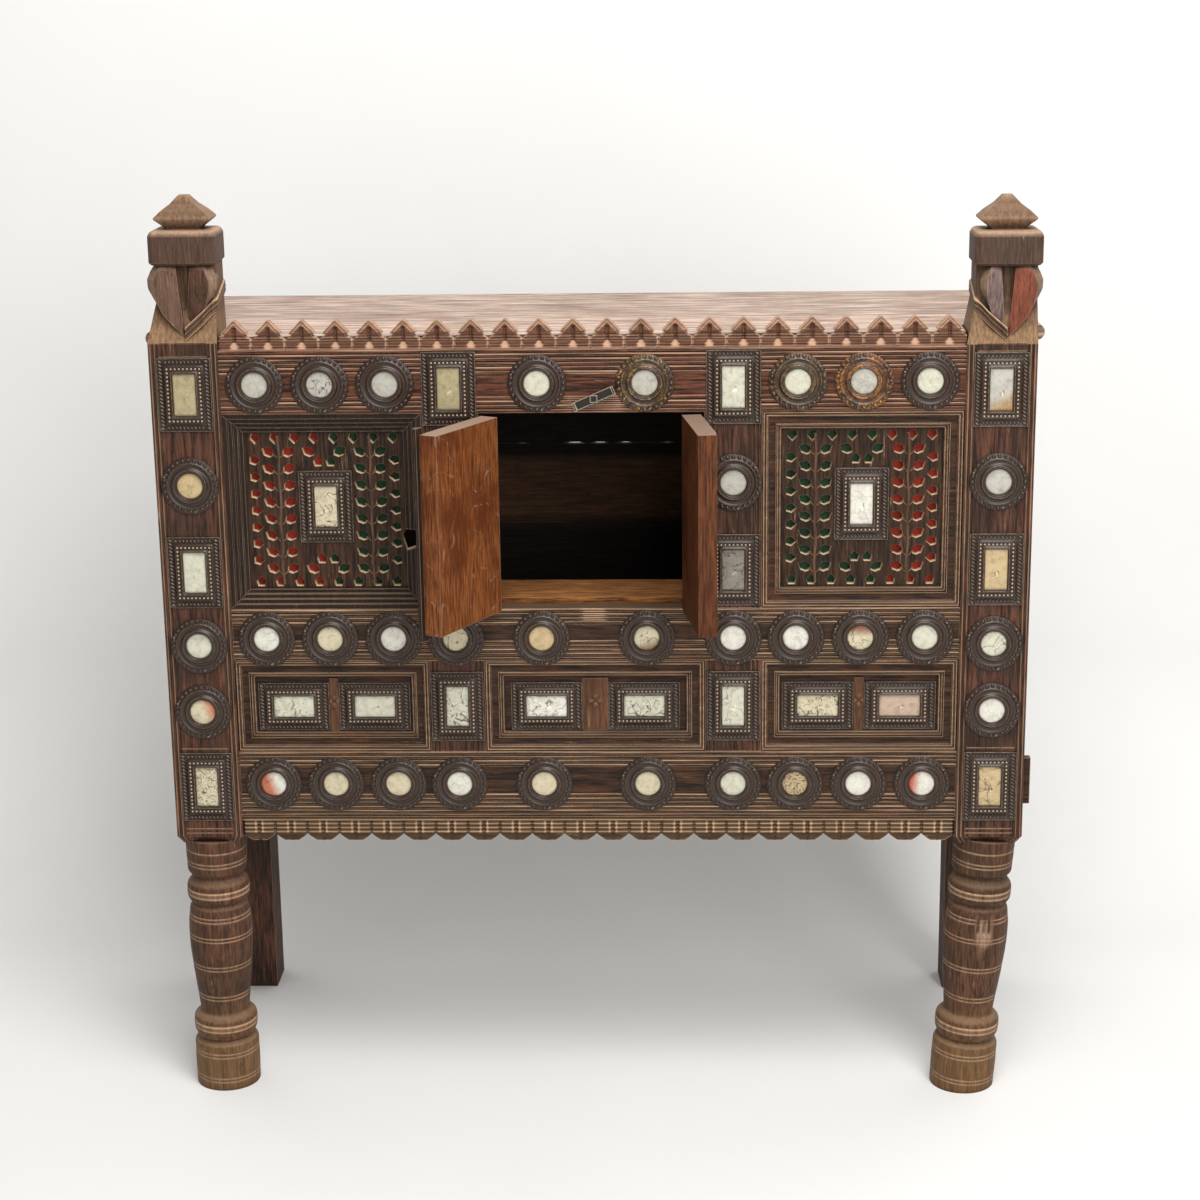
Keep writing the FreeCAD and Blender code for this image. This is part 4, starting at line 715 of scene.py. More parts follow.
def turned_leg(post_x, lean_deg, gouge):
    """Outline r(z) carried round Z, less a groove at each incised line and the break, then leaned.

    The break is a basin exp(-u^6 - v^6) of the gouge's depth, with a pointed foot and upright cracks."""
    z = np.arange(LEG_OUTLINE[0, 0], LEG_TOP + 1.0, LEG_RINGS)
    r = np.convolve(np.pad(np.interp(z, *LEG_OUTLINE.T), 1, mode="edge"), np.ones(3) / 3.0, mode="valid")
    lines = bells(z, LEG_LINES, LINE_HALF)
    ring = circle(LEG_TURNS)
    aside, level = BREAK_R * ring[:, 0], (z - BREAK_Z)[:, None]
    slant = level - 0.8 * np.abs(aside - BREAK_X) + 6.0
    basin = np.exp(-((aside - BREAK_X) / BREAK_HALF_W) ** 6 - (slant / BREAK_HALF_H) ** 6)
    basin = (gouge > 0.0) * basin * (ring[:, 1] < 0.0)
    cracks = bells(aside, CRACKS, CRACK_HALF) * np.clip((level + 6.0) / 5.0, 0.0, 1.0)
    cracks = basin * np.clip(cracks, 0.0, 1.0)
    radius = (r - LINE_DEEP * lines)[:, None] - (gouge * basin + CRACK_DEEP * cracks)
    x, y = radius * ring[:, 0], radius * ring[:, 1]
    c, s = math.cos(math.radians(lean_deg)), math.sin(math.radians(lean_deg))
    down = (z - LEG_PIVOT_Z)[:, None]
    up = np.maximum(LEG_PIVOT_Z - x * s + down * c, 0.0)
    rings = spread(post_x + x * c + down * s, LEG_PIVOT_Y + y, up)
    crest = bells(z, LEG_CRESTS, LEG_CREST_HALF)
    wear = np.clip(0.8 * lines + 0.35 * crest, 0.0, 0.95)[:, None] * (1.0 - basin)
    stain = np.tile(paint("#84633f", 0.0), (len(z), 1, 1))
    stain[:, 0, 3] = np.interp(z, *LEG_GOLD)
    stain = mixed(cracks, mixed(basin, stain, paint("#b08d74", 0.9)), paint("#1c120d", 1.0))
    return (*loft(rings), wear.ravel(), stain.reshape(-1, 4))


# %% Square shaft
SHAFT_FOOT, POST_TOP = 350.0, 1003.0
SHAFT_HALF, SHAFT_DEPTH, SHAFT_PLAIN, SHAFT_TAPER = 43.5, 72.0, 30.0, 7.0
SHAFT_NOTCHES, SHAFT_RIDGES = np.array((32.5, 37.5)), np.array((35.0, 40.5))
SHAFT_LINES = np.array((366.0, 372.0, 482.0, 994.0))


def square_shaft(post_x, shoulder_z):
    """One outline carried up: reeds are notches near both front corners, and fine lines cross the front."""
    front = np.linspace(-SHAFT_HALF, SHAFT_HALF, 88)
    notch = np.clip(1.0 - np.abs(np.abs(front)[:, None] - SHAFT_NOTCHES) / 1.4, 0.0, 1.0).max(axis=1)
    corner = np.clip(np.abs(front) - SHAFT_HALF + 1.6, 0.0, 1.6)
    out_x = np.append(front, (SHAFT_HALF, -SHAFT_HALF))
    out_y = np.append(1.7 * notch + 0.5 * corner ** 2, (SHAFT_DEPTH, SHAFT_DEPTH))
    near = SHAFT_LINES[:, None] + (-1.2, -0.6, 0.0, 0.6, 1.2)
    z = np.unique(np.concatenate([np.linspace(SHAFT_FOOT, shoulder_z, 60), near.ravel()]))[:, None]
    across = bells(z, SHAFT_LINES, 0.7) * np.append(np.abs(front) < SHAFT_PLAIN, (False, False))
    shrink = np.interp(z, (SHAFT_FOOT, SHAFT_FOOT + SHAFT_TAPER), (SHAFT_TAPER, 0.0))
    x = out_x * (1.0 - shrink / SHAFT_HALF)
    y = out_y + shrink * (1.0 - 2.0 * out_y / SHAFT_DEPTH) + 0.8 * across
    ridge = bells(np.abs(out_x), SHAFT_RIDGES, 0.9) * (out_y < 9.0)
    wear = np.maximum(0.75 * across, 0.6 * ridge)
    return (*loft(spread(post_x + x, y, z)), wear.ravel(), np.zeros((wear.size, 4)))


# %% [markdown]
# The head's parts are lofts: level outlines stacked upward. The petals' outline is a tulip, and their front
# swells between the channel and the outer edge. Each part has its own stain: the shoulder is golden, bare
# wood and a painted highlight where it looks up, the petals' falling facets are paler high up in the same
# way, and the petals of the right head are rose and red where old paint is left.

# %% Neck and petals
HEAD_ASIDE, HEAD_HALF, HEAD_MIDDLE_Y, INSET, BLOCK_PROUD = 5.0, 42.0, 36.0, 0.1, 1.9
WAIST_Z, WAIST_IN, WAIST_BACK, NECK_RING = 1060.0, 5.5, 15.0, 1080.0
PETAL_FOOT, NECK_TOP, BLOCK_TOP, CAP_TOP = 1019.0, 1107.0, 1149.0, 1190.0
# Height and half width
PETAL_OUTLINE = np.array([(PETAL_FOOT, 1.0), (1030, 11.5), (1046, 25.4), (1064, 34.5), (1078, 40.6),
                          (1089, 41.0), (1098, 37.5), (NECK_TOP, 33.0)])
# Heights with the channel's half width, the crease's place, the swelling and the facet's pale share, bare
# wood and a painted highlight together
PETAL_CHANNEL = (PETAL_FOOT, 1040, NECK_TOP), (0.2, 3.0, 9.0)
PETAL_CREASE = (PETAL_FOOT, 1056, NECK_TOP), (0.96, 0.88, 0.66)
SWELL_AT, SWELL = (PETAL_FOOT, 1035, 1075, 1100, NECK_TOP), (1.0, 0.8, 0.45)
PETAL_FACET_BARE_AND_LIT = (1050, 1066), (0.0, 1.0)
SUNK_TIP, PROUD_TIP = (0.0, 0.3), (0.7, 0.85)
# Height over the shoulder with the share of golden colour: golden wood and a painted highlight where the
# shoulder looks up
NECK_GOLD = (0.0, 15.0, 31.0, 47.0), (0.85, 0.8, 0.6, 0.2)
CORNER_STEPS = 5


def rounded_levels(*sizes):
    """Level rectangles (left, right, front, back, radius, z) with a quarter circle at each corner."""
    left, right, front, back, radius, z = np.array(np.broadcast_arrays(*sizes))[..., None]
    quarter = np.linspace(0.0, math.pi / 2, CORNER_STEPS)
    angle = (np.arange(4)[:, None] * math.pi / 2 + quarter).ravel()
    at_right, at_back = np.repeat([(1, 0, 0, 1), (1, 1, 0, 0)], CORNER_STEPS, axis=1)
    x = np.where(at_right, right - radius, left + radius) + radius * np.cos(angle)
    y = np.where(at_back, back - radius, front + radius) + radius * np.sin(angle)
    return spread(x, y, z)


def turned_over(shape, side):
    """The same shape with its faces turned round where it was mirrored."""
    return shape if side > 0 else (shape[0], shape[1][:, ::-1], *shape[2:])


def neck(post_x, shoulder_z, top_z):
    """Shoulder that slopes back from the shaft's top and then rises, golden low down: golden wood and a
    painted highlight on the slope.
    """
    z = np.concatenate([[shoulder_z - 1.0], np.linspace(shoulder_z, WAIST_Z, 9), [NECK_RING, top_z]])
    t = np.clip((z - shoulder_z) / (WAIST_Z - shoulder_z), 0.0, 1.0)
    left = post_x - SHAFT_HALF + INSET + (WAIST_IN + HEAD_ASIDE) * t
    right = post_x + SHAFT_HALF - INSET + (HEAD_ASIDE - WAIST_IN) * t
    rings = rounded_levels(left, right, INSET + WAIST_BACK * t, SHAFT_DEPTH - INSET, 1.0 + 3.0 * t, z)
    stain = np.tile(paint("#9d7b59", 0.0), (len(z), 1))
    stain[:, 3] = np.interp(z - shoulder_z, *NECK_GOLD)
    return (*loft(rings), np.zeros(rings.size // 3), np.repeat(stain, rings.shape[1], axis=0))


def petal(centre_x, side, wide, code, share, tip):
    """Level slices of one petal: the front swells from the channel to a crease, then a facet falls back."""
    z = np.linspace(PETAL_FOOT, NECK_TOP, 30)[:, None]
    outer = np.maximum(wide * np.interp(z, *PETAL_OUTLINE.T), 1.0)
    inner = np.interp(z, *PETAL_CHANNEL)
    crease = np.interp(z, *PETAL_CREASE)
    s = np.column_stack([crease * np.linspace(0.0, 1.0, 11),
                         crease + (1.0 - crease) * np.linspace(0.1, 1.0, 5)])
    facet = (s - crease).clip(0.0) / (1.0 - crease)
    swell = np.interp(z, SWELL_AT, (*tip, *SWELL))
    x = inner + (outer - inner) * s
    y = -2.0 + 12.0 * (1.0 - swell) + 13.0 * facet + 4.0 * (1.0 - s) ** 3
    x = np.column_stack([x[:, :1], x, x[:, -1:]])
    y = np.column_stack([np.full(len(z), 30.0), y, np.full(len(z), 34.0)])
    # The falling facet is paler high up: bare wood and a painted highlight together
    bare = np.column_stack([0.0 * z, facet > 0.0, 0.0 * z]) * np.interp(z, *PETAL_FACET_BARE_AND_LIT)
    stain = mixed(bare, paint(code, share), paint("#9c7f69", 0.75)).reshape(-1, 4)
    return turned_over((*loft(spread(centre_x + side * x, y, z)), 0.25 * bare.ravel(), stain), side)


# %% Ribbon
STRAP_RISE, STRAP_HALF, STRAP_TALL, STRAP_BACK, STRAP_BEND = 11.0, 8.5, 2.6, -13.0, 6.0
STRAP_FRONT, STRAP_SIDE = 32.0, np.linspace(15.0, 68.0, 6)
# How the front lies back towards its corner, and how the ribbon climbs along its run
STRAP_LINE = (0.0, 22.0, STRAP_FRONT), (0.8, 2.0, 9.0)
STRAP_CLIMB = (0.0, 38.0, 98.0), (0.0, 33.0, 52.0)


def strap(centre_x, side, foot_z):
    """Ribbon with two grooves: it rises over the neck's front, turns its corner and climbs along its side."""
    front, turn = np.linspace(0.0, STRAP_FRONT, 8), np.radians(np.linspace(-75.0, -15.0, 4))
    still, edge = np.zeros(len(front)), np.ones(len(STRAP_SIDE))
    out_x = np.concatenate([still, np.cos(turn), edge])
    out_y = np.concatenate([still - 1.0, np.sin(turn), 0.0 * edge])
    x = np.concatenate([front, STRAP_FRONT + STRAP_BEND * np.cos(turn), (STRAP_FRONT + STRAP_BEND) * edge])
    y = np.concatenate([np.interp(front, *STRAP_LINE),
                        STRAP_SIDE[0] + STRAP_BEND * np.sin(turn), STRAP_SIDE])
    run = np.concatenate([[0.0], np.cumsum(np.hypot(np.diff(x), np.diff(y)))])
    v = np.linspace(STRAP_HALF, -STRAP_HALF, 28)
    groove = np.exp(-((np.abs(v) - 3.0) / 0.9) ** 2)
    u = np.append(STRAP_TALL * (1.0 - (v / 9.0) ** 6) - 1.8 * groove, (STRAP_BACK, STRAP_BACK))
    x, y = x[:, None] + out_x[:, None] * u, y[:, None] + out_y[:, None] * u
    rise = foot_z + np.interp(run, *STRAP_CLIMB)
    z = rise[:, None] + np.append(v, (-STRAP_HALF, STRAP_HALF))
    wear = np.append(0.7 * (np.abs(v) > 6.8) + 0.25 * (1.0 - groove), (0.0, 0.0))
    # The grooves are painted dark as shade
    stain = mixed(np.append(groove, (0.0, 0.0)), paint("#6b4f3b", 0.6), paint("#2a1d16", 0.85))
    marks = np.tile(wear, len(run)), np.tile(stain, (len(run), 1))
    return turned_over((*loft(spread(centre_x + side * x, y, z)), *marks), side)


# %% Block, cap and whole posts
# Height, easing of the edges and wear; height, half width, half depth and wear
BLOCK_LEVELS = np.array([(NECK_TOP, 3.0, 0.25), (NECK_TOP + 3, 0.0, 0.1), (BLOCK_TOP - 7, 0.0, 0.1),
                         (BLOCK_TOP - 2, 2.5, 0.6), (BLOCK_TOP, 6.0, 0.5)])
CAP_LEVELS = np.array([(BLOCK_TOP - 1, 21, 17, 0.0), (1151, 22, 17.5, 0.1), (1161.5, 35.4, 22.3, 0.4),
                       (1163.5, 35.4, 22.3, 0.4), (1171.5, 27, 18.5, 0.1), (1180, 15.5, 13.5, 0.2),
                       (CAP_TOP, 6.0, 9.0, 0.5)])


def block_and_cap(centre_x):
    """Block with eased edges, and a cap whose sides flare out, round over and sweep in to a small flat."""
    z, e, block_wear = BLOCK_LEVELS.T
    half = HEAD_HALF - e
    front, back = e - BLOCK_PROUD, SHAFT_DEPTH - INSET - e
    block = rounded_levels(centre_x - half, centre_x + half, front, back, 9.0 - 0.6 * e, z)
    z, w, d, cap_wear = CAP_LEVELS.T
    cap = rounded_levels(centre_x - w, centre_x + w, HEAD_MIDDLE_Y - d, HEAD_MIDDLE_Y + d, 2.0, z)
    dark, bare, gold = paint("#594539", 0.75), paint("#a48871", 0.75), paint("#7d5f47", 0.8)
    sets = ((block, block_wear, [dark, dark, dark, bare, bare]), (cap, cap_wear, [gold] * len(cap)))
    corners = 4 * CORNER_STEPS
    return [(*loft(rings), np.repeat(wear, corners), np.repeat(stain, corners, axis=0))
            for rings, wear, stain in sets]


def carved_post(name, takes, post_x, leg, shoulder_z, drop, petals):
    """The whole front post: leg, shaft and head in one piece. The two posts were cut by eye and differ."""
    centre = post_x + HEAD_ASIDE
    inner = 1 if post_x < 0 else -1
    high = block_and_cap(centre)
    for side, look in zip((-1, 1), petals):
        high.append(petal(centre, side, *look, SUNK_TIP if side == inner else PROUD_TIP))
    shapes = [turned_leg(post_x, *leg), square_shaft(post_x, shoulder_z)]
    shapes.append(neck(post_x, shoulder_z, NECK_TOP - drop))
    shapes += [(points - (0.0, 0.0, drop), *rest) for points, *rest in high]
    shapes.append(strap(centre, inner, shoulder_z + STRAP_RISE))
    make_piece(name, joined(shapes), upright_wood, takes=takes)


# A leg leans by some degrees and has a gouge of some depth; a petal has a width, a colour and its share
carved_post("carved_post_left", "front_post_left", -POST_X, (0.0, 0.0), POST_TOP + 8.0, 0.0,
            ((1.13, "#7c5e4c", 0.65), (0.98, "#5c4233", 0.6)))
carved_post("carved_post_right", "front_post_right", POST_X, (3.6, 3.0), POST_TOP, 9.0,
            ((0.8, "#8d7570", 0.75), (1.06, "#8a4a36", 0.8)))

# %% [markdown]
# ## Crest and apron
# A strip of gabled teeth stands on the top rail, and a strip of scallops hangs under the bottom rail. Both
# repeat one carved tooth, a loft of level slices whose front carries the cuts: reeds, a dimple with a groove
# above it, and slits between neighbours. Raw wood shows in the cuts.

# %% Crest teeth
TEETH, STRIP_HALF = 22, 463.0
TOOTH = 2.0 * STRIP_HALF / TEETH
CREST_Z, CREST_BACK = 1001.0, 17.0
APRON_TOP, APRON_BACK = 387.0, 19.0
ACROSS = np.linspace(-1.0, 1.0, 34)
CREST_REEDS, CREST_RIDGES = (2.5, 9.5, 13.0, 16.5), (1.0, 4.5, 11.2, 14.8)
APRON_RIDGES = (-4.0, -9.5, -15.0, -20.5)


def backed(x, y, z, back, wear, back_wear=0.0):
    """Loft of level slices: the points across the front, then two corners at the back behind its ends."""
    x = np.column_stack([x, x[:, -1], x[:, 0]])
    y = np.column_stack([y, np.full((len(z), 2), back)])
    wear = np.column_stack([wear, np.full((len(z), 2), back_wear)])
    return (*loft(spread(x, y, z)), wear.ravel())


def crest_tooth():
    """Slices with a half width each: a full band, shoulders, a waist and a gable; the cuts are in front."""
    z = [np.linspace(0.0, 18.0, 29), np.linspace(18.0, 22.0, 7), np.linspace(22.0, 36.0, 15)]
    z = np.unique(np.concatenate(z))[:, None]
    half = np.interp(z, (12.0, 17.5, 18.7, 20.0, 21.5, 36.0), (TOOTH / 2, 13.0, 12.0, 16.0, 15.6, 1.5))
    x = half * ACROSS
    reeds, crest = bells(z, CREST_REEDS, 0.8), bells(z, CREST_RIDGES, 0.8)
    dimple = np.exp(-(x / (2.6 + 2.6 * np.clip(9.5 - z, 0.0, 5.0) / 5.0)) ** 4 - ((z - 5.6) / 4.2) ** 4)
    groove = bells(x, 0.0, 2.0) * (z > 8.0) * (z < 29.0)
    slit = bells(np.abs(x), TOOTH / 2, 1.5) * (z < 13.0)
    y = RAIL_Y + 1.4 * reeds * (1.0 - dimple) + 2.4 * dimple + 2.6 * groove * (1.0 - dimple) + 2.4 * slit
    inside = half - np.abs(x)
    brow = bells(inside, 0.0, 1.5) * (z > 11.0) + bells(inside, 4.5, 1.2) * (z > 21.0)
    pale = 1.3 * dimple + 1.3 * slit + 0.45 * brow + 0.45 * crest + 0.3 * (z > 20.5)
    pale = np.clip(pale, 0.0, 1.3) * (1.0 - groove * (1.0 - dimple))
    return backed(x, y, z, CREST_BACK, pale, 0.7)


# %% Apron scallops and both rows


def apron_scallop():
    """Slices of one hanging scallop: a full band crossed by ridges, then a dark lip with a flat foot."""
    z = np.unique(np.concatenate([np.linspace(-33.0, -24.0, 14), np.linspace(-24.0, 0.0, 40)]))[:, None]
    half = np.interp(z, (-33.0, -31.5, -28.0, -24.0, 0.0), (9.0, 11.5, 16.5, TOOTH / 2, TOOTH / 2))
    x = half * ACROSS
    ridge = bells(z, APRON_RIDGES, 1.5)
    split = bells(x, 0.0, 1.5) * (z < -6.0)
    slit = bells(np.abs(x), TOOTH / 2, 1.4) * (z < -5.0)
    post = bells(np.abs(x), 4.5, 1.3) * (z < -6.0) * (z > -22.0)
    lip = np.clip((-23.0 - z) / 4.0, 0.0, 1.0)
    y = RAIL_Y + 2.0 * (1.0 - ridge) * (1.0 - 0.7 * post) + 1.8 * split + 1.8 * slit + 1.5 * lip
    pale = np.clip(0.7 * ridge + 0.6 * post - split - slit - lip, 0.0, 1.0)
    return backed(x, y, z, APRON_BACK, pale)


def lay_teeth(name, takes, tooth, z, wood, stain):
    """A row of one tooth across the front."""
    x = -STRIP_HALF + TOOTH * (np.arange(TEETH) + 0.5)
    shape = repeated(tooth, spread(x, 0.0, z))
    make_piece(name, (*shape, np.tile(stain, (len(shape[0]), 1))), wood, takes=takes)


lay_teeth("carved_crest", "crest_strip", crest_tooth(), CREST_Z, red_wood, paint("#6d4633", 0.7))
lay_teeth("carved_apron", "apron_strip", apron_scallop(), APRON_TOP, level_wood, paint("#5c472e", 0.7))

# %% [markdown]
# ## Reeds along the rails
# The rails were worked with a scratch plane, which leaves rows of half-round reeds along both edges. They
# stand between the grooves of the solids and wander a little. They are pale on their upper flanks, rubbed
# wood and a painted highlight from above together.

# %% Rail reeds
REED_PITCH, REED_HALF, REED_TALL, REED_LOW, REED_EASE = 5.5, 2.1, 1.0, 0.15, 6.0
# Middle and reach of the spots that the turn button and the foot of the batten pass over
LOW_SPOTS = ((4.0, 939.5, 36.0), (0.0, 668.0, 14.0))


def reed(z0, phase):
    """Half round (z0 + h cos t, -tall sin t) carried along X on a slow wave, planed low at some spots."""
    x = np.linspace(-STRIP_HALF, STRIP_HALF, 120)[:, None]
    t = np.linspace(0.0, math.pi, 7)
    tall = np.full_like(x, REED_TALL)
    for spot_x, spot_z, reach in LOW_SPOTS:
        if abs(z0 - spot_z) < reach:
            low = np.interp(np.abs(x - spot_x), (reach, reach + REED_EASE), (REED_LOW, REED_TALL))
            tall = np.minimum(tall, low)
    z = z0 + 0.25 * np.sin(x / 70.0 + phase) + REED_HALF * np.cos(t)
    z = np.column_stack([z, np.full(len(x), z0)])
    y = np.column_stack([RAIL_Y - tall * np.sin(t), np.full(len(x), RAIL_Y + 0.5)])
    # Pale on the upper flank of each reed rather than its crest: rubbed wood and a painted highlight together
    rubbed = (0.5 + 0.5 * abs(math.sin(2.4 * phase))) * (0.7 + 0.3 * np.sin(x / 38.0 + 5.0 * phase))
    wear = rubbed * np.append(bells(t, 1.0, 0.42), 0.0)
    return (*loft(spread(x, y, z)), wear.ravel())


def lay_reeds(name, foot, top, below, above, wood):
    """Reeds of one rail, counted from its lower and its upper edge."""
    levels = [foot + REED_PITCH * (k + 0.5) for k in range(below)]
    levels += [top - REED_PITCH * (k + 0.5) for k in range(above)]
    make_piece(name, joined([reed(z, 1.7 * k) for k, z in enumerate(levels)]), wood)


UPPER_BAY, LOWER_BAY, BAY_HALF, MIDDLE_HALF = (668.0, 920.0), (477.0, 599.0), 125.0, 141.0
lay_reeds("reeds_of_top_rail", UPPER_BAY[1], CREST_Z, 4, 6, red_wood)
lay_reeds("reeds_of_middle_rail", LOWER_BAY[1], UPPER_BAY[0], 5, 4, level_wood)
lay_reeds("reeds_of_bottom_rail", APRON_TOP, LOWER_BAY[0], 6, 4, level_wood)

# %% [markdown]
# ## Reeded mouldings
# Each panel is held by a mitred frame of reeds and a hollow that step down towards the panel. A reed is a
# half round, so the frame is one profile of half rounds carried round a rectangle.

# %% Mouldings
REED_WIDTHS = (4.0, 3.5, 10.0, 3.5, 3.0)
REED_DEPTHS = (0.0, 1.5, 5.0, 7.5, 9.5)
REED_ROUNDS = (1.4, 1.2, -1.6, 1.2, 1.0)
MOULDING_FRONT, MOULDING_STEPS = 4.0, 8


def reeded_profile():
    """(inset, depth, wear): depth = step + round * (1 - sqrt(1 - u^2)) across a reed; hollows bend inward."""
    u = np.linspace(-1.0, 1.0, 9)
    curve = 1.0 - np.sqrt(1.0 - (0.97 * u) ** 2)
    starts = np.concatenate([[0.0], np.cumsum(REED_WIDTHS)[:-1]])
    inset = [start + width / 2 * (1.0 + u) for start, width in zip(starts, REED_WIDTHS)]
    depth = [step + bend * curve for step, bend in zip(REED_DEPTHS, REED_ROUNDS)]
    wear = [(bend > 0) * 0.8 * (1.0 - u ** 2) ** 6 for bend in REED_ROUNDS]
    back = PANEL_Y - MOULDING_FRONT
    inset = np.concatenate([[0.0], *inset, [sum(REED_WIDTHS)]])
    depth = np.concatenate([[back], *depth, [back]])
    return inset, depth, np.concatenate([[0.0], *wear, [0.0]])


def lay_moulding(name, takes, x, bay, half_w):
    """Mitred frame at the edge of one bay."""
    inset, depth, wear = reeded_profile()
    half_h = (bay[1] - bay[0]) / 2
    rings = np.stack([oblong(half_w - e, half_h - e, MOULDING_STEPS) for e in inset])
    points, faces = loft(standing(rings, -depth), closed=True)
    points = points + (x, MOULDING_FRONT, sum(bay) / 2)
    make_piece(name, (points, faces, np.repeat(wear, 4 * MOULDING_STEPS)), level_wood, takes=takes)


lay_moulding("reeded_moulding_jali_right", "jali_moulding_right", BAY_X, UPPER_BAY, BAY_HALF)
for side, x, half in (("left", -BAY_X, BAY_HALF), ("middle", 0.0, MIDDLE_HALF), ("right", BAY_X, BAY_HALF)):
    lay_moulding("reeded_moulding_" + side, "lower_moulding_" + side, x, LOWER_BAY, half)

# %% [markdown]
# ## Strips between the lower plates
# A strip of plain wood shows between the two plates of each lower panel, with a small flower cut into it.
# The strip is a stack of level slices, and the flower is four rounded lobes added to its front.

# %% Panel strips
STRIP_FOOT, STRIP_TOP = 501.5, 572.0
FLOWER_Z, FLOWER_R = 540.0, 10.0


def panel_strip(x0, half):
    """Slices up the strip: proud = 2 + 2.2 * lobes, with lobes = cos(2 t)^2 inside the flower's radius."""
    z = np.linspace(STRIP_FOOT, STRIP_TOP, 60)[:, None]
    x = np.linspace(-half, half, 24)
    r, turn = np.hypot(x, z - FLOWER_Z), np.arctan2(z - FLOWER_Z, x)
    lobes = np.cos(2.0 * turn) ** 2 * bells(r, 0.55 * FLOWER_R, 0.33 * FLOWER_R)
    y = PANEL_Y - 2.0 - 2.2 * lobes + 1.6 * bells(r, 0.0, 1.6) + 0.9 * (np.abs(x) / half) ** 6
    return backed(x0 + x + 0.0 * r, y, z, PANEL_Y, 0.35 * lobes)


strips = joined([panel_strip(x, half) for x, half in ((-BAY_X, 6.0), (0.0, 16.5), (BAY_X, 6.0))])
strip_stain = np.tile(paint("#6b4730", 0.7), (len(strips[0]), 1))
make_piece("carved_panel_strips", strips, upright_wood, stain=strip_stain)

# %% [markdown]
# ## Nails
# Small forged nails hold the plates: one in each corner of the oblong ones and three round the edge of the
# round ones. Each is a low half ellipsoid.

# %% Nails
NAIL_R, NAIL_TALL = 1.9, 1.5
NAIL_RING, NAIL_SPIN = 33.5, np.radians((35.0, 160.0, 280.0))
UPRIGHT_NAILS, LYING_NAILS = (29.5, 42.0), (41.5, 27.5)


def plate_nails():
    """Nail centres from the plates' own places."""
    ring = spread(NAIL_RING * np.cos(NAIL_SPIN), -2.2, NAIL_RING * np.sin(NAIL_SPIN))
    tall, flat = [np.array([(x, -1.6, z) for x in (-half_w, half_w) for z in (-half_h, half_h)])
                  for half_w, half_h in (UPRIGHT_NAILS, LYING_NAILS)]
    sets = ((rounds, ring), (uprights, tall), (lying, flat))
    return np.array([nail + place[:3] for places, nails in sets for place in places for nail in nails])


nails = beads(plate_nails(), 0.0, NAIL_R, NAIL_R, NAIL_TALL, NAIL_WEAR)
make_piece("plate_nails", nails, black_iron, slot="black_iron", smooth=True)

# %% [markdown]
# ## Stems on the pierced panels
# The sawn leaves hang on stems that are carved a little proud. A stem is a half round carried up the panel,
# and its twigs are long half ellipsoids that run from the stem to each leaf.

# %% Stems
STEM_X, STEM_R, STEM_REACH = 58.0, 1.7, 96.0
TWIG_ROWS, TWIG_PITCH, TWIG_DROP, TWIG_X, TWIG_LEAN, TWIG = 8, 21.6, 5.0, 4.6, 0.75, (5.0, 1.2, 1.3)
STEM_Z = sum(UPPER_BAY) / 2


def stem(x):
    """Half round (r cos t, -r sin t) carried up a gently waving line."""
    z = np.linspace(-STEM_REACH, STEM_REACH, 40)[:, None]
    t = np.linspace(math.pi, 2.0 * math.pi, 8)
    across = x + 0.8 * np.sin(z / 9.0) + STEM_R * np.cos(t)
    return loft(spread(across, PANEL_Y + 0.9 * STEM_R * np.sin(t), STEM_Z + z))


def lay_stems(name, bay_x):
    """Two stems and their twigs on one panel."""
    rows = STEM_Z + TWIG_PITCH * (np.arange(TWIG_ROWS) - (TWIG_ROWS - 1) / 2) - TWIG_DROP
    stems = [bay_x - STEM_X, bay_x + STEM_X]
    shapes = [stem(x) for x in stems]
    shapes += [beads(spread(x + way * TWIG_X, PANEL_Y, rows), way * TWIG_LEAN, *TWIG, 0.0)[:2]
               for x in stems for way in (-1, 1)]
    points, faces = joined(shapes)
    make_piece(name, (points, faces, np.where(points[:, 1] < PANEL_Y - 1.0, 0.3, 0.0)), upright_wood)


lay_stems("carved_stems_left", -BAY_X)
lay_stems("carved_stems_right", BAY_X)

# %% [markdown]
# ## Back boards
# The boards of the back have shrunk and warped. Inside they are painted near black as shade, except a
# band of brown wood where light falls. Seen from the front, daylight comes through only in a few short
# slits high up, so each board's edges are drawn as slow waves that touch the next board elsewhere.

# %% Back boards
BACK_BOARDS, BOARD_GAP = 4, 2.0
SLITS_AT = np.array((-205.0, -111.0, -38.0, -3.0, 33.0, 92.0, 160.0))
SLIT_HALF = np.array((12.0, 6.0, 13.0, 11.0, 8.5, 6.0, 9.0))
SLIT_OPEN = np.array((0.8, 0.6, 1.0, 0.9, 0.8, 0.6, 0.8))
BOARD_ROWS = np.linspace(1.0, 0.0, 9)
# Heights of the band that is left brown where light falls, the rest painted dark as shade, and its soft edge
LIT_BAND_FROM, LIT_BAND_TO, LIT_BAND_FADE = 706.0, 782.0, 12.0


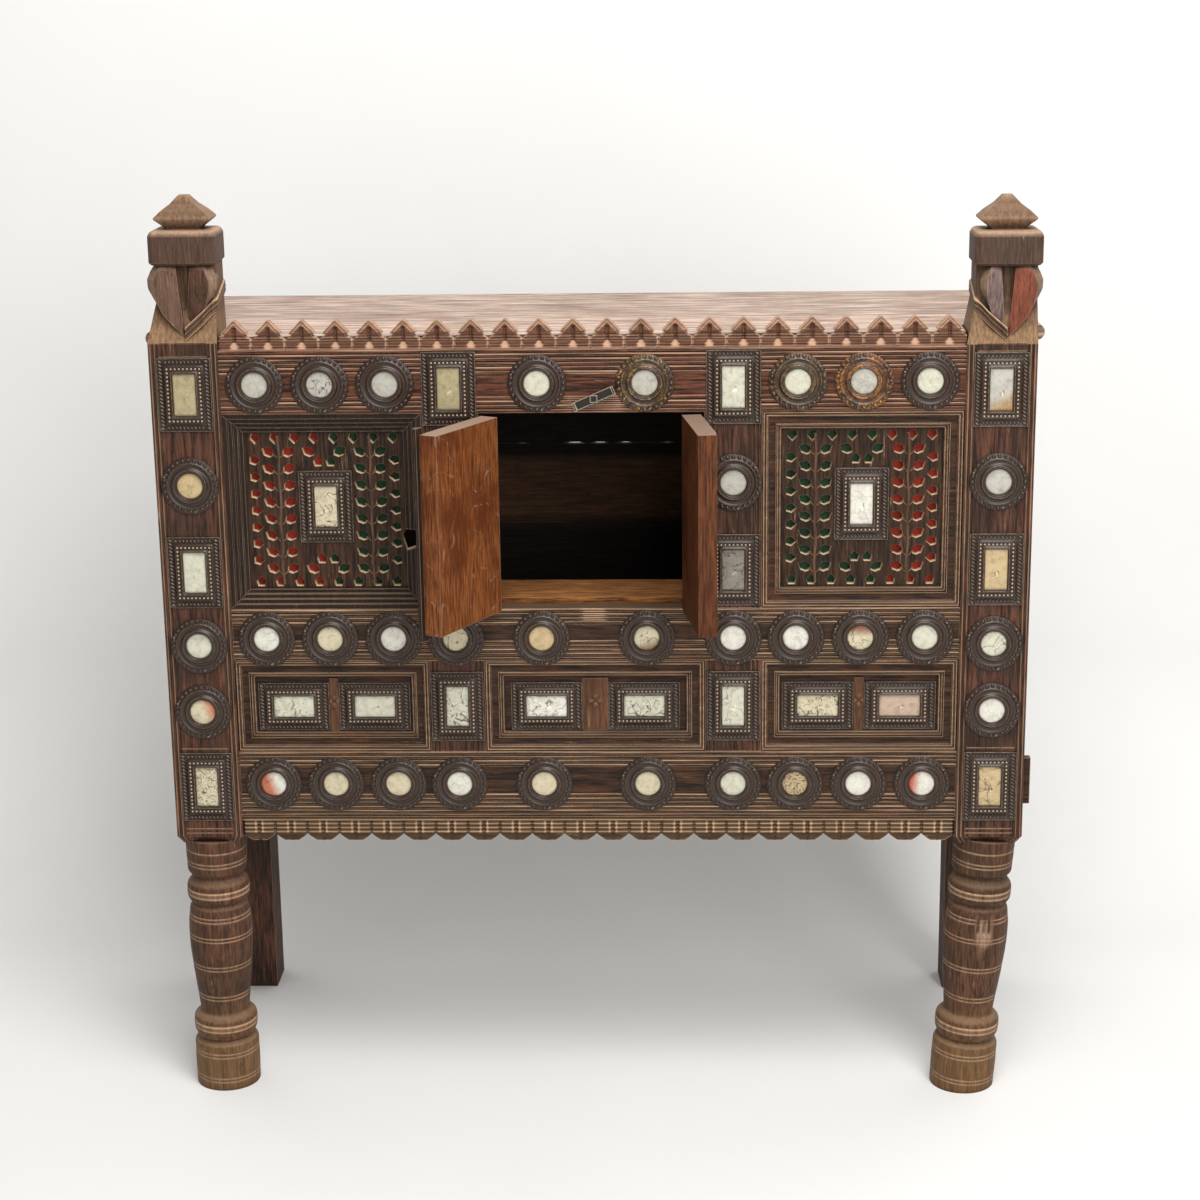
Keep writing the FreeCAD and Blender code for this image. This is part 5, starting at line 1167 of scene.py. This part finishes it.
def back_boards():
    """Each board is an end outline carried along X; its edges close the gap except at lens-shaped slits."""
    low, high = [np.array(corner) * 1000.0 - (0.0, SHIFT_Y, 0.0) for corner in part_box("back_boards")]
    x = np.linspace(low[0], high[0], 240)
    pitch = (high[2] - low[2] + BOARD_GAP) / BACK_BOARDS
    slit = 1.5 * (SLIT_OPEN * np.exp(-((x[:, None] - SLITS_AT) / SLIT_HALF) ** 4)).sum(axis=1)
    shapes = []
    for k in range(BACK_BOARDS):
        wave = 0.2 * np.sin(x / 37.0 + 2.1 * k)
        foot = low[2] + k * pitch + (k > 0) * (wave - 0.9 + slit * (k == BACK_BOARDS - 1))
        head = low[2] + (k + 1) * pitch - BOARD_GAP
        head = head + (k < BACK_BOARDS - 1) * (0.85 - slit * (k == BACK_BOARDS - 2))
        front = [(low[1], foot + t * (head - foot)) for t in BOARD_ROWS]
        outline = [(high[1], (foot + head) / 2), (high[1], head), *front, (high[1], foot)]
        shapes.append(loft(np.stack([spread(x, y, z) for y, z in outline], axis=1)))
    points, faces = joined(shapes)
    # Painted shade: the boards are painted near black inside, except a band of brown wood where light falls
    past = np.maximum(LIT_BAND_FROM - points[:, 2], points[:, 2] - LIT_BAND_TO)
    painted_shade_and_lit_band = mixed(np.clip(1.0 - past / LIT_BAND_FADE, 0.0, 1.0), paint("#0d0907", 0.9), paint("#6a4a33", 0.8))
    painted_shade_and_lit_band[:, 3] *= points[:, 1] < high[1] - 0.1
    make_piece("shrunk_back_boards", (points, faces), inner_wood, slot="raw_wood", takes="back_boards",
               stain=painted_shade_and_lit_band)


back_boards()

# %% [markdown]
# ## Studio
# The studio is a pale cove, a floor that curves up into a wall, lit by two large soft lamps and a grey sky,
# because soft light from above and in front is what shapes the carving in the photograph. The cove is only
# the stage. Seen from behind, its wall lets the eye through to the back of the cabinet.

# %% Cove
COVE_BEND, COVE_WALL, COVE_TOP = 350.0, 900.0, 5000.0
FLOOR_HALF, FLOOR_REACH = 7000.0, 6000.0
PLASTER_MM = 330.0


def cove():
    """Profile of a floor, a quarter circle and a wall, carried along X, and a floor behind the wall."""
    bend = np.linspace(0.0, math.pi / 2, 24)
    start = COVE_WALL - COVE_BEND
    curve = np.column_stack([start + COVE_BEND * np.sin(bend), COVE_BEND - COVE_BEND * np.cos(bend)])
    profile = np.concatenate([[(-FLOOR_REACH, 0.0)], curve, [(COVE_WALL, COVE_TOP)]])
    behind = np.array([(start, 0.0), (FLOOR_REACH, 0.0)])
    sides = np.array((-FLOOR_HALF, FLOOR_HALF))
    return joined([(spread(sides, line[:, :1], line[:, 1:]).reshape(-1, 3), grid_quads(len(line), 2))
                   for line in (profile, behind)])


def pale_plaster():
    """Matt off-white plaster with faint clouds, clear from its back."""
    material, node, shader, where = new_material("pale_plaster")
    cloud = node("TexNoise", {"Vector": where, "Scale": 1000 / PLASTER_MM, "Detail": 3.0})
    colour = node("Mix", {0: cloud, 6: "#e9e8e6", 7: "#efeeec"}, **BLEND)
    fill(shader, {"Base Color": colour, "Roughness": 0.9})
    behind = node("NewGeometry", out="Backfacing")
    seen = node("MixShader", (behind, shader.outputs["BSDF"], node("BsdfTransparent")))
    fill(material.node_tree.nodes["Material Output"], {"Surface": seen})
    return material


cove_points, cove_faces = cove()
cove_mesh = bpy.data.meshes.new("cove")
cove_mesh.from_pydata(placed(cove_points).tolist(), [], cove_faces.tolist())
cove_mesh.polygons.foreach_set("use_smooth", np.full(len(cove_mesh.polygons), True))
cove_mesh.materials.append(pale_plaster())
cove_object = bpy.data.objects.new("cove", cove_mesh)
scene.collection.objects.link(cove_object)
print("cove of", len(cove_points), "points")

# %% Lamps and sky


def soft_lamp(name, at, toward, size, power):
    """Square area lamp that looks from one drawing point to another."""
    lamp = bpy.data.lights.new(name, "AREA")
    lamp.size = size
    lamp.energy = power
    holder = bpy.data.objects.new(name, lamp)
    scene.collection.objects.link(holder)
    start, end = Vector(placed(at)), Vector(placed(toward))
    holder.location = start
    holder.rotation_euler = (end - start).to_track_quat("-Z", "Y").to_euler()


soft_lamp("overhead_lamp", at=(450, -1400, 3100), toward=(0, 100, 600), size=1.8, power=85)
soft_lamp("front_lamp", at=(1300, -3200, 1900), toward=(0, 0, 600), size=2.0, power=45)
SKY = 0.42
world = bpy.data.worlds.new("studio_sky")
scene.world = world
world.use_nodes = True
fill(world.node_tree.nodes["Background"], {"Color": "#f4f4f2", "Strength": SKY})
print("two lamps, and a sky of strength", SKY)
